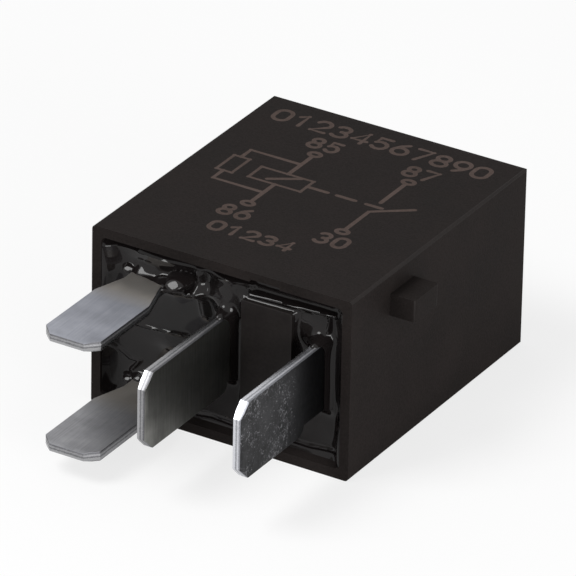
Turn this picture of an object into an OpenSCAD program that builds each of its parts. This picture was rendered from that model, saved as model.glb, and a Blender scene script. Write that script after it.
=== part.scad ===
// Sealed micro relay with four blades, one normally open contact and a resistor beside the coil.
// It lies on its large face with +Z up and the blades pointing to -Y. The origin is the middle of the
// underside of the case. Lengths are measured from the rim, and from_rim() then moves each piece.

/* [Case] */
// Width of the case, across the row of blades
case_w = 22.5; // [22:0.5:30]
// Height of the case as it lies
case_h = 15; // [14.5:0.5:20]
// Length of the case, from the rim to the closed end
case_l = 26; // [24:0.5:34]
// Wall at the rim, around the base
wall = 0.8; // [0.6:0.05:1]
// Step of the wall behind the base, which the base seats on
ledge = 0.2; // [0.1:0.05:0.4]
// Thickness of the closed end
end_wall = 1; // [0.8:0.1:1.6]
// Radius of the case's long outer edges
edge_r = 0.3; // [0.2:0.05:1.2]
// Radius of the edges around the closed end
end_r = 0.45; // [0.2:0.05:1.2]
// Taper of each side from the rim to the closed end
draft = 0.02; // [0:0.02:0.2]

/* [Latch notch] */
// Width of the notch inside the upper rim
notch_w = 2.6; // [1.5:0.1:4]
// Depth of the notch into the wall
notch_deep = 0.2; // [0.1:0.05:0.4]
// Length of the notch from the rim
notch_l = 0.7; // [0.4:0.1:0.8]

/* [Key lug] */
// How far the lug stands out of the narrow side
lug_out = 2.15; // [1:0.05:3]
// Thickness of the lug
lug_t = 1.8; // [1:0.1:3]
// Length of the lug along the case
lug_l = 3.4; // [2:0.1:8]
// Distance from the rim to the front of the lug
lug_front = 5.5; // [2:0.1:12]
// Distance from the upper face to the lug
lug_drop = 1.7; // [1:0.1:3]

/* [Base] */
// Depth of the base's front behind the rim
base_front = 2.2; // [2:0.1:2.6]
// Thickness of the base
base_t = 2.1; // [1.8:0.1:3]
// Clearance between the base and the case
base_gap = 0.05; // [0.02:0.01:0.1]
// Clearance around a blade in its slot
slot_gap = 0.03; // [0.01:0.01:0.06]
// Height of the ribs that the yoke stands on
rib_h = 1.1; // [0.9:0.1:2]
// Width of the rib under the yoke's bend
side_rib_w = 9; // [6:0.5:10]
// Thickness of that rib
side_rib_t = 0.9; // [0.6:0.1:1.2]
// Width of the rib beside the middle load blade
mid_rib_w = 6; // [4:0.5:7]
// Height of the two sockets behind the base
socket_h = 2; // [1:0.1:3]
// Wall of those sockets
socket_wall = 0.4; // [0.3:0.05:0.6]
// Gap between the middle load blade and the raised pad at the empty fifth place
pad_gap_mid = 1; // [0.6:0.05:1.6]
// Gap between the outer load blade and the raised pad
pad_gap_outer = 2; // [1:0.05:2.6]
// Height of the raised pad
pad_h = 9.6; // [6:0.1:10]
// Depth of the pad's face behind the rim
pad_front = 0.35; // [0.1:0.05:0.8]

/* [Potting] */
// Depth of the sealing surface behind the rim
pot_front = 1.5; // [1.4:0.05:1.7]
// How far the sealing creeps up each blade
collar_h = 1.3; // [0.2:0.05:1.4]
// Spread of that collar at its foot
collar_w = 0.9; // [0.2:0.05:1]
// How far the sealing creeps up the wall
creep_h = 1.1; // [0.2:0.05:1.3]
// Width of that fillet at its foot
creep_w = 1; // [0.2:0.05:1.4]

/* [Blades] */
// How far the coil blades stand out of the rim
coil_out = 11; // [8:0.1:14]
// How far the load blades stand out of the rim
load_out = 11.2; // [8:0.1:14]
// Thickness of the blades
blade_t = 0.8; // [0.6:0.1:0.8]
// Width of the two coil blades
coil_blade_w = 4.8; // [4.2:0.1:5]
// Width of the two load blades
load_blade_w = 6.3; // [5.6:0.1:6.5]
// Corner chamfer at the tip of a coil blade
coil_chamfer = 0.93; // [0.3:0.01:1.4]
// Corner chamfer at the tip of a load blade
load_chamfer = 1.1; // [0.3:0.01:1.4]
// Length of the bevel that thins each tip
bevel_l = 0.5; // [0.3:0.05:1.5]
// Thickness at the very tip
tip_t = 0.6; // [0.3:0.02:0.6]
// Distance from the side of the case to the middle of the coil blades
coil_blade_in = 4.85; // [4.6:0.05:5]
// Distance from the underside to the lower coil blade
low_blade_in = 2.25; // [2.1:0.05:2.6]
// Distance from the upper face to the upper coil blade
high_blade_in = 3.55; // [3.3:0.05:3.8]
// Distance from the core to the middle load blade
mid_blade_off = 3.35; // [3.3:0.05:3.8]
// Distance from the side of the case to the outer load blade
outer_blade_in = 2.9; // [2.6:0.05:3.2]
// Distance from the rim at which the coil blades start to taper
coil_shoulder = 3.5; // [3:0.1:4.5]
// Length over which the coil blades taper to their neck
coil_taper = 2.8; // [1:0.1:3]
// Width of the coil blades where they enter the base
coil_neck = 3.1; // [2.6:0.1:3.8]
// Distance from the rim to the shoulder of the middle load blade
mid_shoulder = 1.2; // [1:0.1:3]
// Distance from the rim to the shoulder of the outer load blade
outer_shoulder = 3.8; // [2:0.1:5]
// Step at the shoulder of a load blade
load_step = 0.75; // [0.3:0.05:1]
// Width of the coil blades' tabs inside the case
tab_w = 2.2; // [1.6:0.1:2.4]
// Length of those tabs
tab_l = 2.2; // [1.9:0.1:2.4]

/* [Magnet] */
// Thickness of the yoke
yoke_t = 1.4; // [1:0.1:1.6]
// Inner radius of the yoke's bend
yoke_bend_r = 0.3; // [0.2:0.05:0.5]
// Gap between the yoke and the side wall, for the leaf and its rivets
yoke_side_gap = 0.55; // [0.5:0.05:0.8]
// Height of the two ears that keep the armature in place
ear_h = 0.9; // [0.5:0.1:1.2]
// Width of each ear
ear_w = 1.4; // [1:0.1:1.8]
// Diameter of the core
core_d = 4.2; // [3:0.1:4.6]
// Diameter of the pole head
pole_d = 8; // [6:0.1:9]
// Thickness of the pole head
pole_t = 1.2; // [0.8:0.1:1.6]
// Width of the bobbin's flanges
flange_w = 10; // [9:0.1:10.2]
// Thickness of each flange
flange_t = 0.7; // [0.5:0.05:1]
// Wall of the bobbin's tube
spool_wall = 0.55; // [0.4:0.05:0.7]
// Outer diameter of the winding
coil_d = 9.2; // [7:0.1:9.2]
// Width of one ridge of the winding
turn_w = 0.4; // [0.3:0.05:0.8]
// Gap between the bobbin and the case wall
flange_gap = 0.3; // [0.2:0.05:0.6]

/* [Armature and leaf] */
// Angle of the armature while the coil is off
open_angle = 3; // [1.5:0.25:3.5]
// Thickness of the armature
arm_t = 1.3; // [1:0.1:1.6]
// Width of the armature over the pole
arm_w = 11; // [9:0.1:11.4]
// Length of the armature past the pole head
arm_tail = 1.2; // [0.5:0.1:2]
// Radius of the nose that the armature rocks on
nose_r = 0.3; // [0.2:0.05:0.4]
// Running gap under the nose and over the pole
run_gap = 0.05; // [0.04:0.01:0.1]
// Thickness of the leaf
leaf_t = 0.25; // [0.15:0.05:0.3]
// Width of the leaf at the hinge
leaf_w = 7.4; // [6:0.1:8]
// Width of the leaf's arm to the contact
leaf_arm_w = 4.2; // [3.4:0.1:5]
// Length of the leaf along the yoke
leaf_leg = 9; // [7:0.5:10]
// Width of the window in the leaf's bend
leaf_window = 3.4; // [2:0.1:4]
// Spacing of each pair of rivets
rivet_pitch = 3.8; // [3:0.1:4.4]
// Diameter of the rivets' shanks
rivet_d = 1; // [0.8:0.1:1.2]
// How far a rivet's head overhangs its shank
rivet_head = 0.4; // [0.3:0.05:0.5]
// Height of the rivets' heads
rivet_head_t = 0.25; // [0.15:0.05:0.35]

/* [Contacts] */
// Diameter of the contact heads
contact_d = 3; // [2.4:0.1:3.4]
// Thickness of the contact heads
contact_t = 0.95; // [0.8:0.05:1.1]
// Diameter of the contact rivets' shanks
shank_d = 1.6; // [1.2:0.1:1.8]
// Height of the closed ends of the contact rivets
button_t = 0.35; // [0.2:0.05:0.5]
// Distance of the contacts from the outer load blade's plane
contact_reach = 2.1; // [1.9:0.1:2.4]
// Width of the inner arm that carries the fixed contact
seat_w = 4.6; // [4:0.1:4.8]
// Thickness of the backstop
stop_t = 0.6; // [0.4:0.05:0.8]
// Width of the backstop
stop_w = 2.4; // [2:0.1:2.6]

/* [Resistor] */
// Diameter of the resistor's body
resistor_d = 2.3; // [1.8:0.1:2.5]
// Length of the resistor's body
resistor_l = 6.3; // [4:0.1:6.8]
// Length of the bead over each end cap
bead_l = 1.7; // [1:0.1:2]
// Depth of the waist between the beads
waist_in = 0.16; // [0.05:0.01:0.3]
// Distance from the base to the middle of the body
resistor_up = 4.3; // [3.5:0.1:6]
// Gap between the body and the bobbin
resistor_gap = 0.3; // [0.2:0.05:0.5]
// Diameter of its leads
lead_d = 0.5; // [0.4:0.05:0.6]
// Bend of its leads
lead_bend = 0.6; // [0.5:0.05:0.7]
// Gap between the leads and the base
lead_gap = 0.45; // [0.3:0.05:0.45]
// Diameter of the winding wire's ends
wire_d = 0.24; // [0.16:0.02:0.3]

/* [Hidden] */
$fn = 64;
cut = 0.1;    // overrun of cutters past the face they open
fit = 0.02;   // radial clearance of a rivet or core in its hole
touch = 0.01; // gap left where two pieces are welded or rest tangent

// Inside of the case
mid_z = case_h / 2;
rim_x = case_w / 2 - wall;
room_x = rim_x - ledge;
base_back = base_front + base_t;
room_end = case_l - end_wall;

// Yoke and coil, seen from above: the yoke's leg runs along Y at the left wall
yoke_x = yoke_side_gap - room_x;
yoke_in = yoke_x + yoke_t;
coil_x = yoke_in + 0.1 + flange_w / 2;

// Blades
coil_blade_x = coil_blade_in - case_w / 2;
z_85 = low_blade_in;
z_86 = case_h - high_blade_in;
x_30 = coil_x + mid_blade_off;
x_87 = case_w / 2 - outer_blade_in;
pad_low = x_30 + blade_t / 2 + pad_gap_mid;
pad_high = x_87 - blade_t / 2 - pad_gap_outer;
pad_x = (pad_low + pad_high) / 2;
load_top = load_blade_w / 2;
load_neck_low = load_step - load_blade_w / 2;

// Foot of the yoke, along X behind the base
foot_low = base_back + rib_h;
foot_top = foot_low + yoke_t;
foot_end = x_30 + 1.4;
blade_off = min(z_86 - mid_z, mid_z - z_85);
foot_w = 2 * (blade_off - blade_t / 2 - wire_d - 0.25);
tenon_w = 3;
yoke_w = case_h - 2 * (wall + ledge + flange_gap + 0.2);

// Armature frame: the hinge axis runs along Z, u points over the pole and v away from it
hinge_inset = nose_r + run_gap;
hinge_x = yoke_x + hinge_inset;
arm_top = arm_t - nose_r;
leaf_low = arm_top + touch;
leaf_high = leaf_low + leaf_t;
contact_x = x_87 - contact_reach;
contact_u = contact_x - hinge_x;
button_top = leaf_high + button_t;
stop_rise = sin(open_angle) * (contact_u + shank_d * 0.7) + cos(open_angle) * button_top + run_gap;
end_gap = 0.4;
stop_y_room = room_end - end_gap - stop_t;
hinge_y = stop_y_room - stop_rise;
yoke_top = hinge_y - nose_r - run_gap;

// Coil, on the axis of the core
pole_face = yoke_top - run_gap;
spool_top = pole_face - pole_t;
spool_low = foot_top;
wind_low = spool_low + flange_t;
wind_top = spool_top - flange_t;
spool_r = core_d / 2 + fit + spool_wall;
flange_h = case_h - 2 * (wall + ledge + flange_gap);
arm_u_end = coil_x - hinge_x + pole_d / 2 + arm_tail;

// Contact heights with the armature closed
fixed_top = hinge_y + leaf_low - contact_t - run_gap;
seat_top = fixed_top - contact_t;
seat_low = seat_top - blade_t;
seat_reach = contact_d / 2 + 0.3;

// Resistor, upright between the coil and the outer load blade
resistor_x = coil_x + flange_w / 2 + resistor_gap + resistor_d / 2;
resistor_y = base_back + resistor_up;
lead_y = base_back + lead_gap + lead_d / 2;
stop_z = mid_z + yoke_w / 2 - stop_t;
stop_x = contact_x - stop_w / 2;
stop_root = base_front + base_t / 3;

function arc(c, r, a0, a1, n = 6) =
    [for (i = [0:n]) c + r * [cos(a0 + (a1 - a0) * i / n), sin(a0 + (a1 - a0) * i / n)]];

function rounded_rect(low, high, r) = concat(
    arc([high[0] - r, low[1] + r], r, -90, 0),
    arc([high[0] - r, high[1] - r], r, 0, 90),
    arc([low[0] + r, high[1] - r], r, 90, 180),
    arc([low[0] + r, low[1] + r], r, 180, 270)
);

// Prisms along each axis. Their outlines are (x, z), (y, z) and (x, y).
module along_y(y0, y1, outline) {
    translate([0, y1, 0]) rotate([90, 0, 0]) linear_extrude(y1 - y0) polygon(outline);
}
module along_x(x0, x1, outline) {
    translate([x0, 0, 0]) rotate([90, 0, 90]) linear_extrude(x1 - x0) polygon(outline);
}
module along_z(z0, z1, outline) {
    translate([0, 0, z0]) linear_extrude(z1 - z0) polygon(outline);
}

module box(low, high) {
    translate(low) cube(high - low);
}

// A turned piece on an axis along Y, from points (radius, y)
module turned_y(x, z, profile) {
    translate([x, 0, z]) rotate([-90, 0, 0]) rotate_extrude() polygon(profile);
}

module hole_y(x, z, d, y0, y1) {
    translate([x, y0, z]) rotate([-90, 0, 0]) cylinder(d = d, h = y1 - y0);
}

module hole_x(y, z, d, x0, x1) {
    translate([x0, y, z]) rotate([0, 90, 0]) cylinder(d = d, h = x1 - x0);
}

module from_rim() {
    translate([0, -case_l / 2, 0]) children();
}

module in_armature_frame() {
    translate([hinge_x, hinge_y, 0]) rotate([0, 0, open_angle]) children();
}

// A solid through rings of points, one after the other
module loft(rings) {
    n = len(rings[0]);
    last = len(rings) - 1;
    points = [for (ring = rings, p = ring) p];
    faces = concat(
        [[for (k = [0:n - 1]) k]],
        [for (i = [0:last - 1], k = [0:n - 1]) let (m = (k + 1) % n)
            [i * n + k, (i + 1) * n + k, (i + 1) * n + m, i * n + m]],
        [[for (k = [n - 1:-1:0]) last * n + k]]
    );
    polyhedron(points, faces);
}

// A round wire swept along points, by carrying its ring from one bend to the next
function unit(v) = v / norm(v);
function leg(path, i) = unit(path[i + 1] - path[i]);
function bend_dir(path, i) =
    i == 0 ? leg(path, 0) :
    i == len(path) - 1 ? leg(path, i - 1) : unit(leg(path, i - 1) + leg(path, i));
function turn_to(v, t) = unit(v - (v * t) * t);
function ring_dirs(path, v, i = 0) =
    let (d = turn_to(v, bend_dir(path, i)))
    i == len(path) - 1 ? [d] : concat([d], ring_dirs(path, d, i + 1));
module wire(path, d, first, sides = 8) {
    dirs = ring_dirs(path, first);
    turn = 360 / sides;
    loft([for (i = [0:len(path) - 1]) let (t = bend_dir(path, i), a = dirs[i], b = cross(t, a))
        [for (k = [0:sides - 1]) path[i] + d / 2 * (cos(turn * k) * a + sin(turn * k) * b)]]);
}

// Moulded cap with drafted walls, a seat for the base and the key lug
module cover() {
    color([0.13, 0.12, 0.12]) from_rim() difference() {
        union() {
            intersection() {
                along_y(0, case_l, rounded_rect([-case_w / 2, 0], [case_w / 2, case_h], edge_r));
                along_z(0, case_h, cap_plan());
                along_x(-case_w / 2, case_w / 2, cap_side());
            }
            along_z(case_h - lug_drop - lug_t, case_h - lug_drop, lug_plan());
        }
        along_y(-cut, base_back, rounded_rect([-rim_x, wall], [rim_x, case_h - wall], 0.4));
        along_y(base_back - cut, room_end, rounded_rect(
            [-room_x, wall + ledge], [room_x, case_h - wall - ledge], 0.4));
        box([pad_x - notch_w / 2, -cut, case_h - wall - cut],
            [pad_x + notch_w / 2, notch_l, case_h - wall + notch_deep]);
    }
}

function cap_plan() = let (far = case_w / 2 - draft) concat(
    [[-case_w / 2, 0], [case_w / 2, 0]],
    arc([far - end_r, case_l - end_r], end_r, 0, 90),
    arc([end_r - far, case_l - end_r], end_r, 90, 180)
);

function cap_side() = let (far = case_h - draft) concat(
    [[0, case_h], [0, 0]],
    arc([case_l - end_r, end_r], end_r, 270, 360),
    arc([case_l - end_r, far - end_r], end_r, 0, 90)
);

function lug_plan() = let (out = case_w / 2 + lug_out, r = 0.25) concat(
    [[case_w / 2 - wall / 2, lug_front]],
    arc([out - r, lug_front + r], r, -90, 0, 3),
    arc([out - r, lug_front + lug_l - r], r, 0, 90, 3),
    [[case_w / 2 - wall / 2, lug_front + lug_l]]
);

// Sections of the blades where they pass the base, grown by a clearance
module coil_slots(gap, y0, y1) {
    for (z = [z_85, z_86])
        box([coil_blade_x - coil_neck / 2 - gap, y0, z - blade_t / 2 - gap],
            [coil_blade_x + coil_neck / 2 + gap, y1, z + blade_t / 2 + gap]);
}

module load_slots(gap, y0, y1) {
    for (x = [x_30, x_87])
        box([x - blade_t / 2 - gap, y0, mid_z + load_neck_low - gap],
            [x + blade_t / 2 + gap, y1, mid_z + load_top + gap]);
}

module pad_block(y0, y1) {
    along_y(y0, y1, rounded_rect(
        [pad_low, mid_z - pad_h / 2], [pad_high, mid_z + pad_h / 2], 0.3));
}

// Header with the blade slots, the raised pad, two ribs under the yoke and two sockets
module base() {
    plate_x = rim_x - base_gap;
    plate_z = wall + base_gap;
    socket_x = blade_t / 2 + socket_wall;
    color([0.16, 0.15, 0.15]) from_rim() difference() {
        union() {
            along_y(base_front, base_back, rounded_rect(
                [-plate_x, plate_z], [plate_x, case_h - plate_z], 0.4));
            pad_block(pad_front, base_front + cut);
            box([yoke_in - side_rib_t, base_back - cut, mid_z - side_rib_w / 2],
                [yoke_in, foot_low, mid_z + side_rib_w / 2]);
            box([x_30 + blade_t, base_back - cut, mid_z - mid_rib_w / 2],
                [foot_end, foot_low, mid_z + mid_rib_w / 2]);
            box([x_87 - socket_x, base_back - cut, mid_z - seat_w / 2 - socket_wall],
                [x_87 + socket_x, base_back + socket_h, mid_z + seat_w / 2 + socket_wall]);
            box([stop_x - socket_wall, base_back - cut, stop_z - socket_wall],
                [stop_x + stop_w + socket_wall, base_back + socket_h, stop_z + stop_t + flange_gap / 2]);
        }
        coil_slots(slot_gap, base_front - cut, base_back + cut);
        load_slots(slot_gap, base_front - cut, base_back + socket_h + cut);
        box([x_87 - blade_t / 2 - slot_gap, base_back, mid_z - seat_w / 2 - slot_gap],
            [x_87 + blade_t / 2 + slot_gap, base_back + socket_h + cut, mid_z + seat_w / 2 + slot_gap]);
        box([stop_x - slot_gap, stop_root, stop_z - slot_gap],
            [stop_x + stop_w + slot_gap, base_back + socket_h + cut, stop_z + stop_t + slot_gap]);
    }
}

// Rings of a fillet of wet epoxy, from its foot to its thin edge. A ring is a rectangle (x, z) grown
// by a width that is a share of w, or shrunk where w is negative.
function creep(low, high, w, h, r) = [for (a = [90:-16:10]) let (g = w * (1 - cos(a)))
    [for (p = rounded_rect(low - [g, g], high + [g, g], r)) [p[0], pot_front - h * (1 - sin(a)), p[1]]]];

function moved_y(ring, y) = [for (p = ring) [p[0], y, p[2]]];

module collar(low, high) {
    rings = creep(low, high, collar_w, collar_h, 0.05);
    loft(concat([moved_y(rings[0], pot_front + cut)], rings));
}

// Epoxy that fills the rim: it creeps up the wall and, in a collar, up each blade
module potting() {
    hollow = creep([-rim_x, wall], [rim_x, case_h - wall], -creep_w, creep_h, 0.4);
    color([0.05, 0.05, 0.05]) from_rim() difference() {
        union() {
            difference() {
                along_y(pot_front - creep_h, base_front, rounded_rect(
                    [-rim_x, wall], [rim_x, case_h - wall], 0.4));
                loft(concat(hollow, [moved_y(hollow[len(hollow) - 1], pot_front - creep_h - cut)]));
            }
            for (z = [z_85, z_86])
                collar([coil_blade_x - coil_neck / 2, z - blade_t / 2],
                    [coil_blade_x + coil_neck / 2, z + blade_t / 2]);
            for (x = [x_30, x_87])
                collar([x - blade_t / 2, mid_z + load_neck_low], [x + blade_t / 2, mid_z + load_top]);
        }
        pad_block(pot_front - collar_h - cut, base_front + cut);
        coil_slots(0, pot_front - collar_h - cut, base_front + cut);
        load_slots(0, pot_front - collar_h - cut, base_front + cut);
    }
}

// Side of a coil blade from its tip to its tab, as offsets from its middle
function coil_blade_side() = concat(
    [[coil_blade_w / 2 - coil_chamfer, -coil_out], [coil_blade_w / 2, coil_chamfer - coil_out]],
    [[coil_blade_w / 2, -coil_shoulder], [coil_neck / 2, coil_taper - coil_shoulder]],
    [[coil_neck / 2, base_back], [tab_w / 2, base_back], [tab_w / 2, base_back + tab_l]]
);

function mirrored(side) = concat(side,
    [for (i = [1:len(side)]) let (p = side[len(side) - i]) [-p[0], p[1]]]);

function tip_section(out, reach) = [
    [-out, -tip_t / 2], [bevel_l - out, -blade_t / 2], [reach, -blade_t / 2],
    [reach, blade_t / 2], [bevel_l - out, blade_t / 2], [-out, tip_t / 2]
];

module coil_blade(z) {
    translate([coil_blade_x, 0, z]) intersection() {
        along_z(-blade_t / 2, blade_t / 2, mirrored(coil_blade_side()));
        along_x(-coil_blade_w / 2, coil_blade_w / 2, tip_section(coil_out, base_back + tab_l));
    }
}

module terminal_85() {
    color([0.78, 0.78, 0.8]) from_rim() coil_blade(z_85);
}

module terminal_86() {
    color([0.78, 0.78, 0.8]) from_rim() coil_blade(z_86);
}

// Outline (y, z) of a load blade up to the back of the base, about its middle height
function load_blade_low(shoulder) = concat(
    [[-load_out, load_chamfer - load_top], [load_chamfer - load_out, -load_top]],
    arc([load_step - shoulder, load_neck_low], load_step, 270, 360),
    [[base_back, load_neck_low]]
);
function load_blade_high() = [
    [base_back, load_top], [load_chamfer - load_out, load_top], [-load_out, load_top - load_chamfer]
];

module terminal_30() {
    inner = seat_w / 2;
    outline = concat(
        load_blade_low(mid_shoulder),
        [[base_back, -inner], [foot_low, -inner], [foot_low, -tenon_w / 2], [foot_top, -tenon_w / 2],
         [foot_top, tenon_w / 2], [foot_low, tenon_w / 2], [foot_low, inner], [base_back, inner]],
        load_blade_high()
    );
    section = [for (p = tip_section(load_out, foot_top)) [p[1], p[0]]];
    color([0.78, 0.78, 0.8]) from_rim() translate([x_30, 0, mid_z]) intersection() {
        along_x(-blade_t / 2, blade_t / 2, outline);
        along_z(-load_top, load_top, section);
    }
}

// Outer load blade, whose inner arm bends over to carry the fixed contact
module terminal_87() {
    inner = seat_w / 2;
    bend = 0.4;
    outline = concat(
        load_blade_low(outer_shoulder),
        [[base_back, -inner], [seat_top, -inner], [seat_top, inner], [base_back, inner]],
        load_blade_high()
    );
    section = concat(
        [[tip_t / 2, -load_out], [blade_t / 2, bevel_l - load_out]],
        arc([-blade_t / 2 - bend, seat_low - bend], blade_t + bend, 0, 90),
        [[-contact_reach - seat_reach, seat_top], [-contact_reach - seat_reach, seat_low]],
        arc([-blade_t / 2 - bend, seat_low - bend], bend, 90, 0),
        [[-blade_t / 2, bevel_l - load_out], [-tip_t / 2, -load_out]]
    );
    color([0.78, 0.78, 0.8]) from_rim() difference() {
        translate([x_87, 0, mid_z]) intersection() {
            along_x(-contact_reach - seat_reach, blade_t / 2, outline);
            along_z(-load_top, load_top, section);
        }
        hole_y(contact_x, mid_z, shank_d + 2 * fit, seat_low - cut, seat_top + cut);
    }
}

// L-shaped iron: the leg carries the armature on its end, between two ears
module yoke() {
    low = mid_z - yoke_w / 2;
    outer_r = yoke_bend_r + yoke_t;
    corner = [yoke_x + outer_r, foot_low + outer_r];
    section = concat(
        [[foot_end, foot_low], [foot_end, foot_top]],
        arc(corner, yoke_bend_r, 270, 180),
        [[yoke_in, yoke_top + ear_h], [yoke_x, yoke_top + ear_h]],
        arc(corner, outer_r, 180, 270)
    );
    color([0.62, 0.6, 0.56]) from_rim() difference() {
        along_z(low, low + yoke_w, section);
        box([yoke_x - cut, yoke_top, low + ear_w],
            [yoke_in + cut, yoke_top + ear_h + cut, low + yoke_w - ear_w]);
        for (side = [-1, 1])
            translate([0, 0, mid_z]) mirror([0, 0, side < 0 ? 1 : 0])
                box([yoke_in + 0.5, foot_low - cut, foot_w / 2],
                    [foot_end + cut, foot_top + cut, yoke_w / 2 + cut]);
        hole_y(coil_x, mid_z, core_d + 2 * fit, foot_low - cut, foot_top + cut);
        box([x_30 - blade_t / 2 - fit, foot_low - cut, mid_z - tenon_w / 2 - fit],
            [x_30 + blade_t / 2 + fit, foot_top + cut, mid_z + tenon_w / 2 + fit]);
        for (side = [-1, 1])
            hole_x(leaf_rivet_y(), mid_z + side * rivet_pitch / 2, rivet_d + 2 * fit,
                yoke_x - cut, yoke_in + cut);
    }
}

function leaf_rivet_y() = yoke_top - leaf_leg + 2;

// Iron pin with a turned pole head, riveted under the foot
module core() {
    r = core_d / 2;
    head = r + 0.5;
    color([0.6, 0.59, 0.57]) from_rim() turned_y(coil_x, mid_z, [
        [0, foot_low - 0.5], [head - 0.3, foot_low - 0.5], [head, foot_low - 0.2], [head, foot_low],
        [r, foot_low], [r, spool_top], [pole_d / 2, spool_top], [pole_d / 2, pole_face - 0.25],
        [pole_d / 2 - 0.25, pole_face], [0, pole_face]
    ]);
}

// Spool with two flanges; the lower one has a notch for each end of the wire
module bobbin() {
    half = flange_w / 2;
    color([0.86, 0.82, 0.7]) from_rim() difference() {
        union() {
            for (y = [spool_low, wind_top])
                along_y(y, y + flange_t, rounded_rect(
                    [coil_x - half, mid_z - flange_h / 2], [coil_x + half, mid_z + flange_h / 2], 0.8));
            hole_y(coil_x, mid_z, 2 * spool_r, spool_low, spool_top);
        }
        hole_y(coil_x, mid_z, core_d + 2 * fit, spool_low - cut, spool_top + cut);
        along_z(0, case_h, [[coil_x - half - cut, spool_low - cut],
            [coil_x - half + yoke_bend_r + cut, spool_low - cut],
            [coil_x - half - cut, spool_low + yoke_bend_r + cut]]);
        for (side = [-1, 1])
            translate([0, 0, mid_z]) mirror([0, 0, side < 0 ? 1 : 0])
                box([coil_blade_x - 0.5, spool_low - cut, min(coil_d / 2 - wire_d, blade_off) - 0.3],
                    [coil_blade_x + 0.5, wind_low + cut, flange_h / 2 + cut]);
    }
}

// Copper winding, with a ridge for each row of its outer layer
module coil() {
    rows = floor((wind_top - wind_low) / turn_w);
    pitch = (wind_top - wind_low) / rows;
    r = coil_d / 2;
    ridges = [for (i = [0:rows - 1], p = [[0.12, 0], [0, 0.3], [0, 0.7], [0.12, 1]])
        if (!(i < rows - 1 && p[1] == 1)) [r - p[0], wind_low + (i + p[1]) * pitch]];
    color([0.72, 0.36, 0.18]) from_rim()
        turned_y(coil_x, mid_z, concat([[spool_r, wind_low]], ridges, [[spool_r, wind_top]]));
}

// End of the winding wire: off the winding, through the notch and three turns round the tab
module coil_lead(z, side) {
    r = wire_d / 2 + touch;
    w = tab_w / 2 + r;
    t = blade_t / 2 + r;
    start = mid_z + side * (coil_d / 2 + r);
    y0 = base_back + tab_l - 0.35;
    drop = wire_d * 1.15;
    turns = [for (i = [0:11]) let (c = [[w, t], [w, -t], [-w, -t], [-w, t]][i % 4])
        [coil_blade_x + c[0], y0 - drop * i / 4, z + side * c[1]]];
    path = concat(
        [[coil_x, wind_low + 0.5, start], [coil_blade_x + 0.6, wind_low + 0.3, start + side * 0.1],
         [coil_blade_x, wind_low - 0.1, z + side * (t + 0.3)],
         [coil_blade_x, y0 + drop, z + side * (t + 0.05)]],
        turns
    );
    wire(path, wire_d, [0, 1, 0.2]);
}

module coil_lead_85() {
    color([0.75, 0.38, 0.2]) from_rim() coil_lead(z_85, -1);
}

module coil_lead_86() {
    color([0.75, 0.38, 0.2]) from_rim() coil_lead(z_86, 1);
}

// Resistor body: a coated rod with a fatter bead over each end cap
module resistor() {
    r = resistor_d / 2;
    h = resistor_l / 2;
    half = [
        [0, h], [r * 0.55, h], [r * 0.9, h - bead_l * 0.15], [r, h - bead_l * 0.4],
        [r, h - bead_l * 0.7], [r - waist_in, h - bead_l]
    ];
    other = [for (i = [1:len(half)]) let (p = half[len(half) - i]) [p[0], -p[1]]];
    color([0.55, 0.42, 0.28]) from_rim() translate([resistor_x, resistor_y, mid_z]) rotate_extrude()
        polygon(concat(half, other));
}

// Lead from the resistor down to the base and along it, under the flat of the tab
module resistor_lead(z, side) {
    r = lead_d / 2;
    z_run = z + side * (blade_t / 2 + r + touch);
    z_top = mid_z + side * resistor_l / 2;
    b = lead_bend;
    path = [
        [resistor_x, resistor_y, z_top], [resistor_x, resistor_y, z_run - side * b],
        [resistor_x, resistor_y - b * 0.3, z_run - side * b * 0.3], [resistor_x, resistor_y - b, z_run],
        [resistor_x, lead_y + b, z_run], [resistor_x - b * 0.3, lead_y + b * 0.3, z_run],
        [resistor_x - b, lead_y, z_run], [coil_blade_x - tab_w / 2, lead_y, z_run]
    ];
    wire(path, lead_d, [1, 0.1, 0]);
}

module resistor_lead_85() {
    color([0.8, 0.8, 0.8]) from_rim() resistor_lead(z_85, -1);
}

module resistor_lead_86() {
    color([0.8, 0.8, 0.8]) from_rim() resistor_lead(z_86, 1);
}

// Iron flap: a round nose rocks on the end of the yoke, the heel passes between the ears
module armature() {
    heel_r = arm_top;
    heel_z = yoke_w / 2 - ear_w - 0.12;
    section = concat(
        arc([0, 0], nose_r, 270, 180),
        arc([heel_r - nose_r, 0], heel_r, 180, 90),
        [[arm_u_end, arm_top], [arm_u_end, -nose_r]]
    );
    color([0.64, 0.62, 0.58]) from_rim() in_armature_frame() difference() {
        along_z(mid_z - arm_w / 2, mid_z + arm_w / 2, section);
        for (side = [-1, 1])
            translate([0, 0, mid_z]) mirror([0, 0, side < 0 ? 1 : 0]) {
                box([-nose_r - cut, -nose_r - cut, heel_z],
                    [yoke_in - hinge_x + 0.3, arm_top + cut, arm_w / 2 + cut]);
                translate([arm_u_end, 0, arm_w / 2]) rotate([0, 45, 0])
                    box([-1, -nose_r - cut, -1], [1, arm_top + cut, 1]);
            }
        for (side = [-1, 1])
            hole_y(arm_rivet_u(), mid_z + side * rivet_pitch / 2, rivet_d + 2 * fit,
                -nose_r - cut, arm_top + cut);
    }
}

function arm_rivet_u() = coil_x - hinge_x - 1.5;

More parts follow.
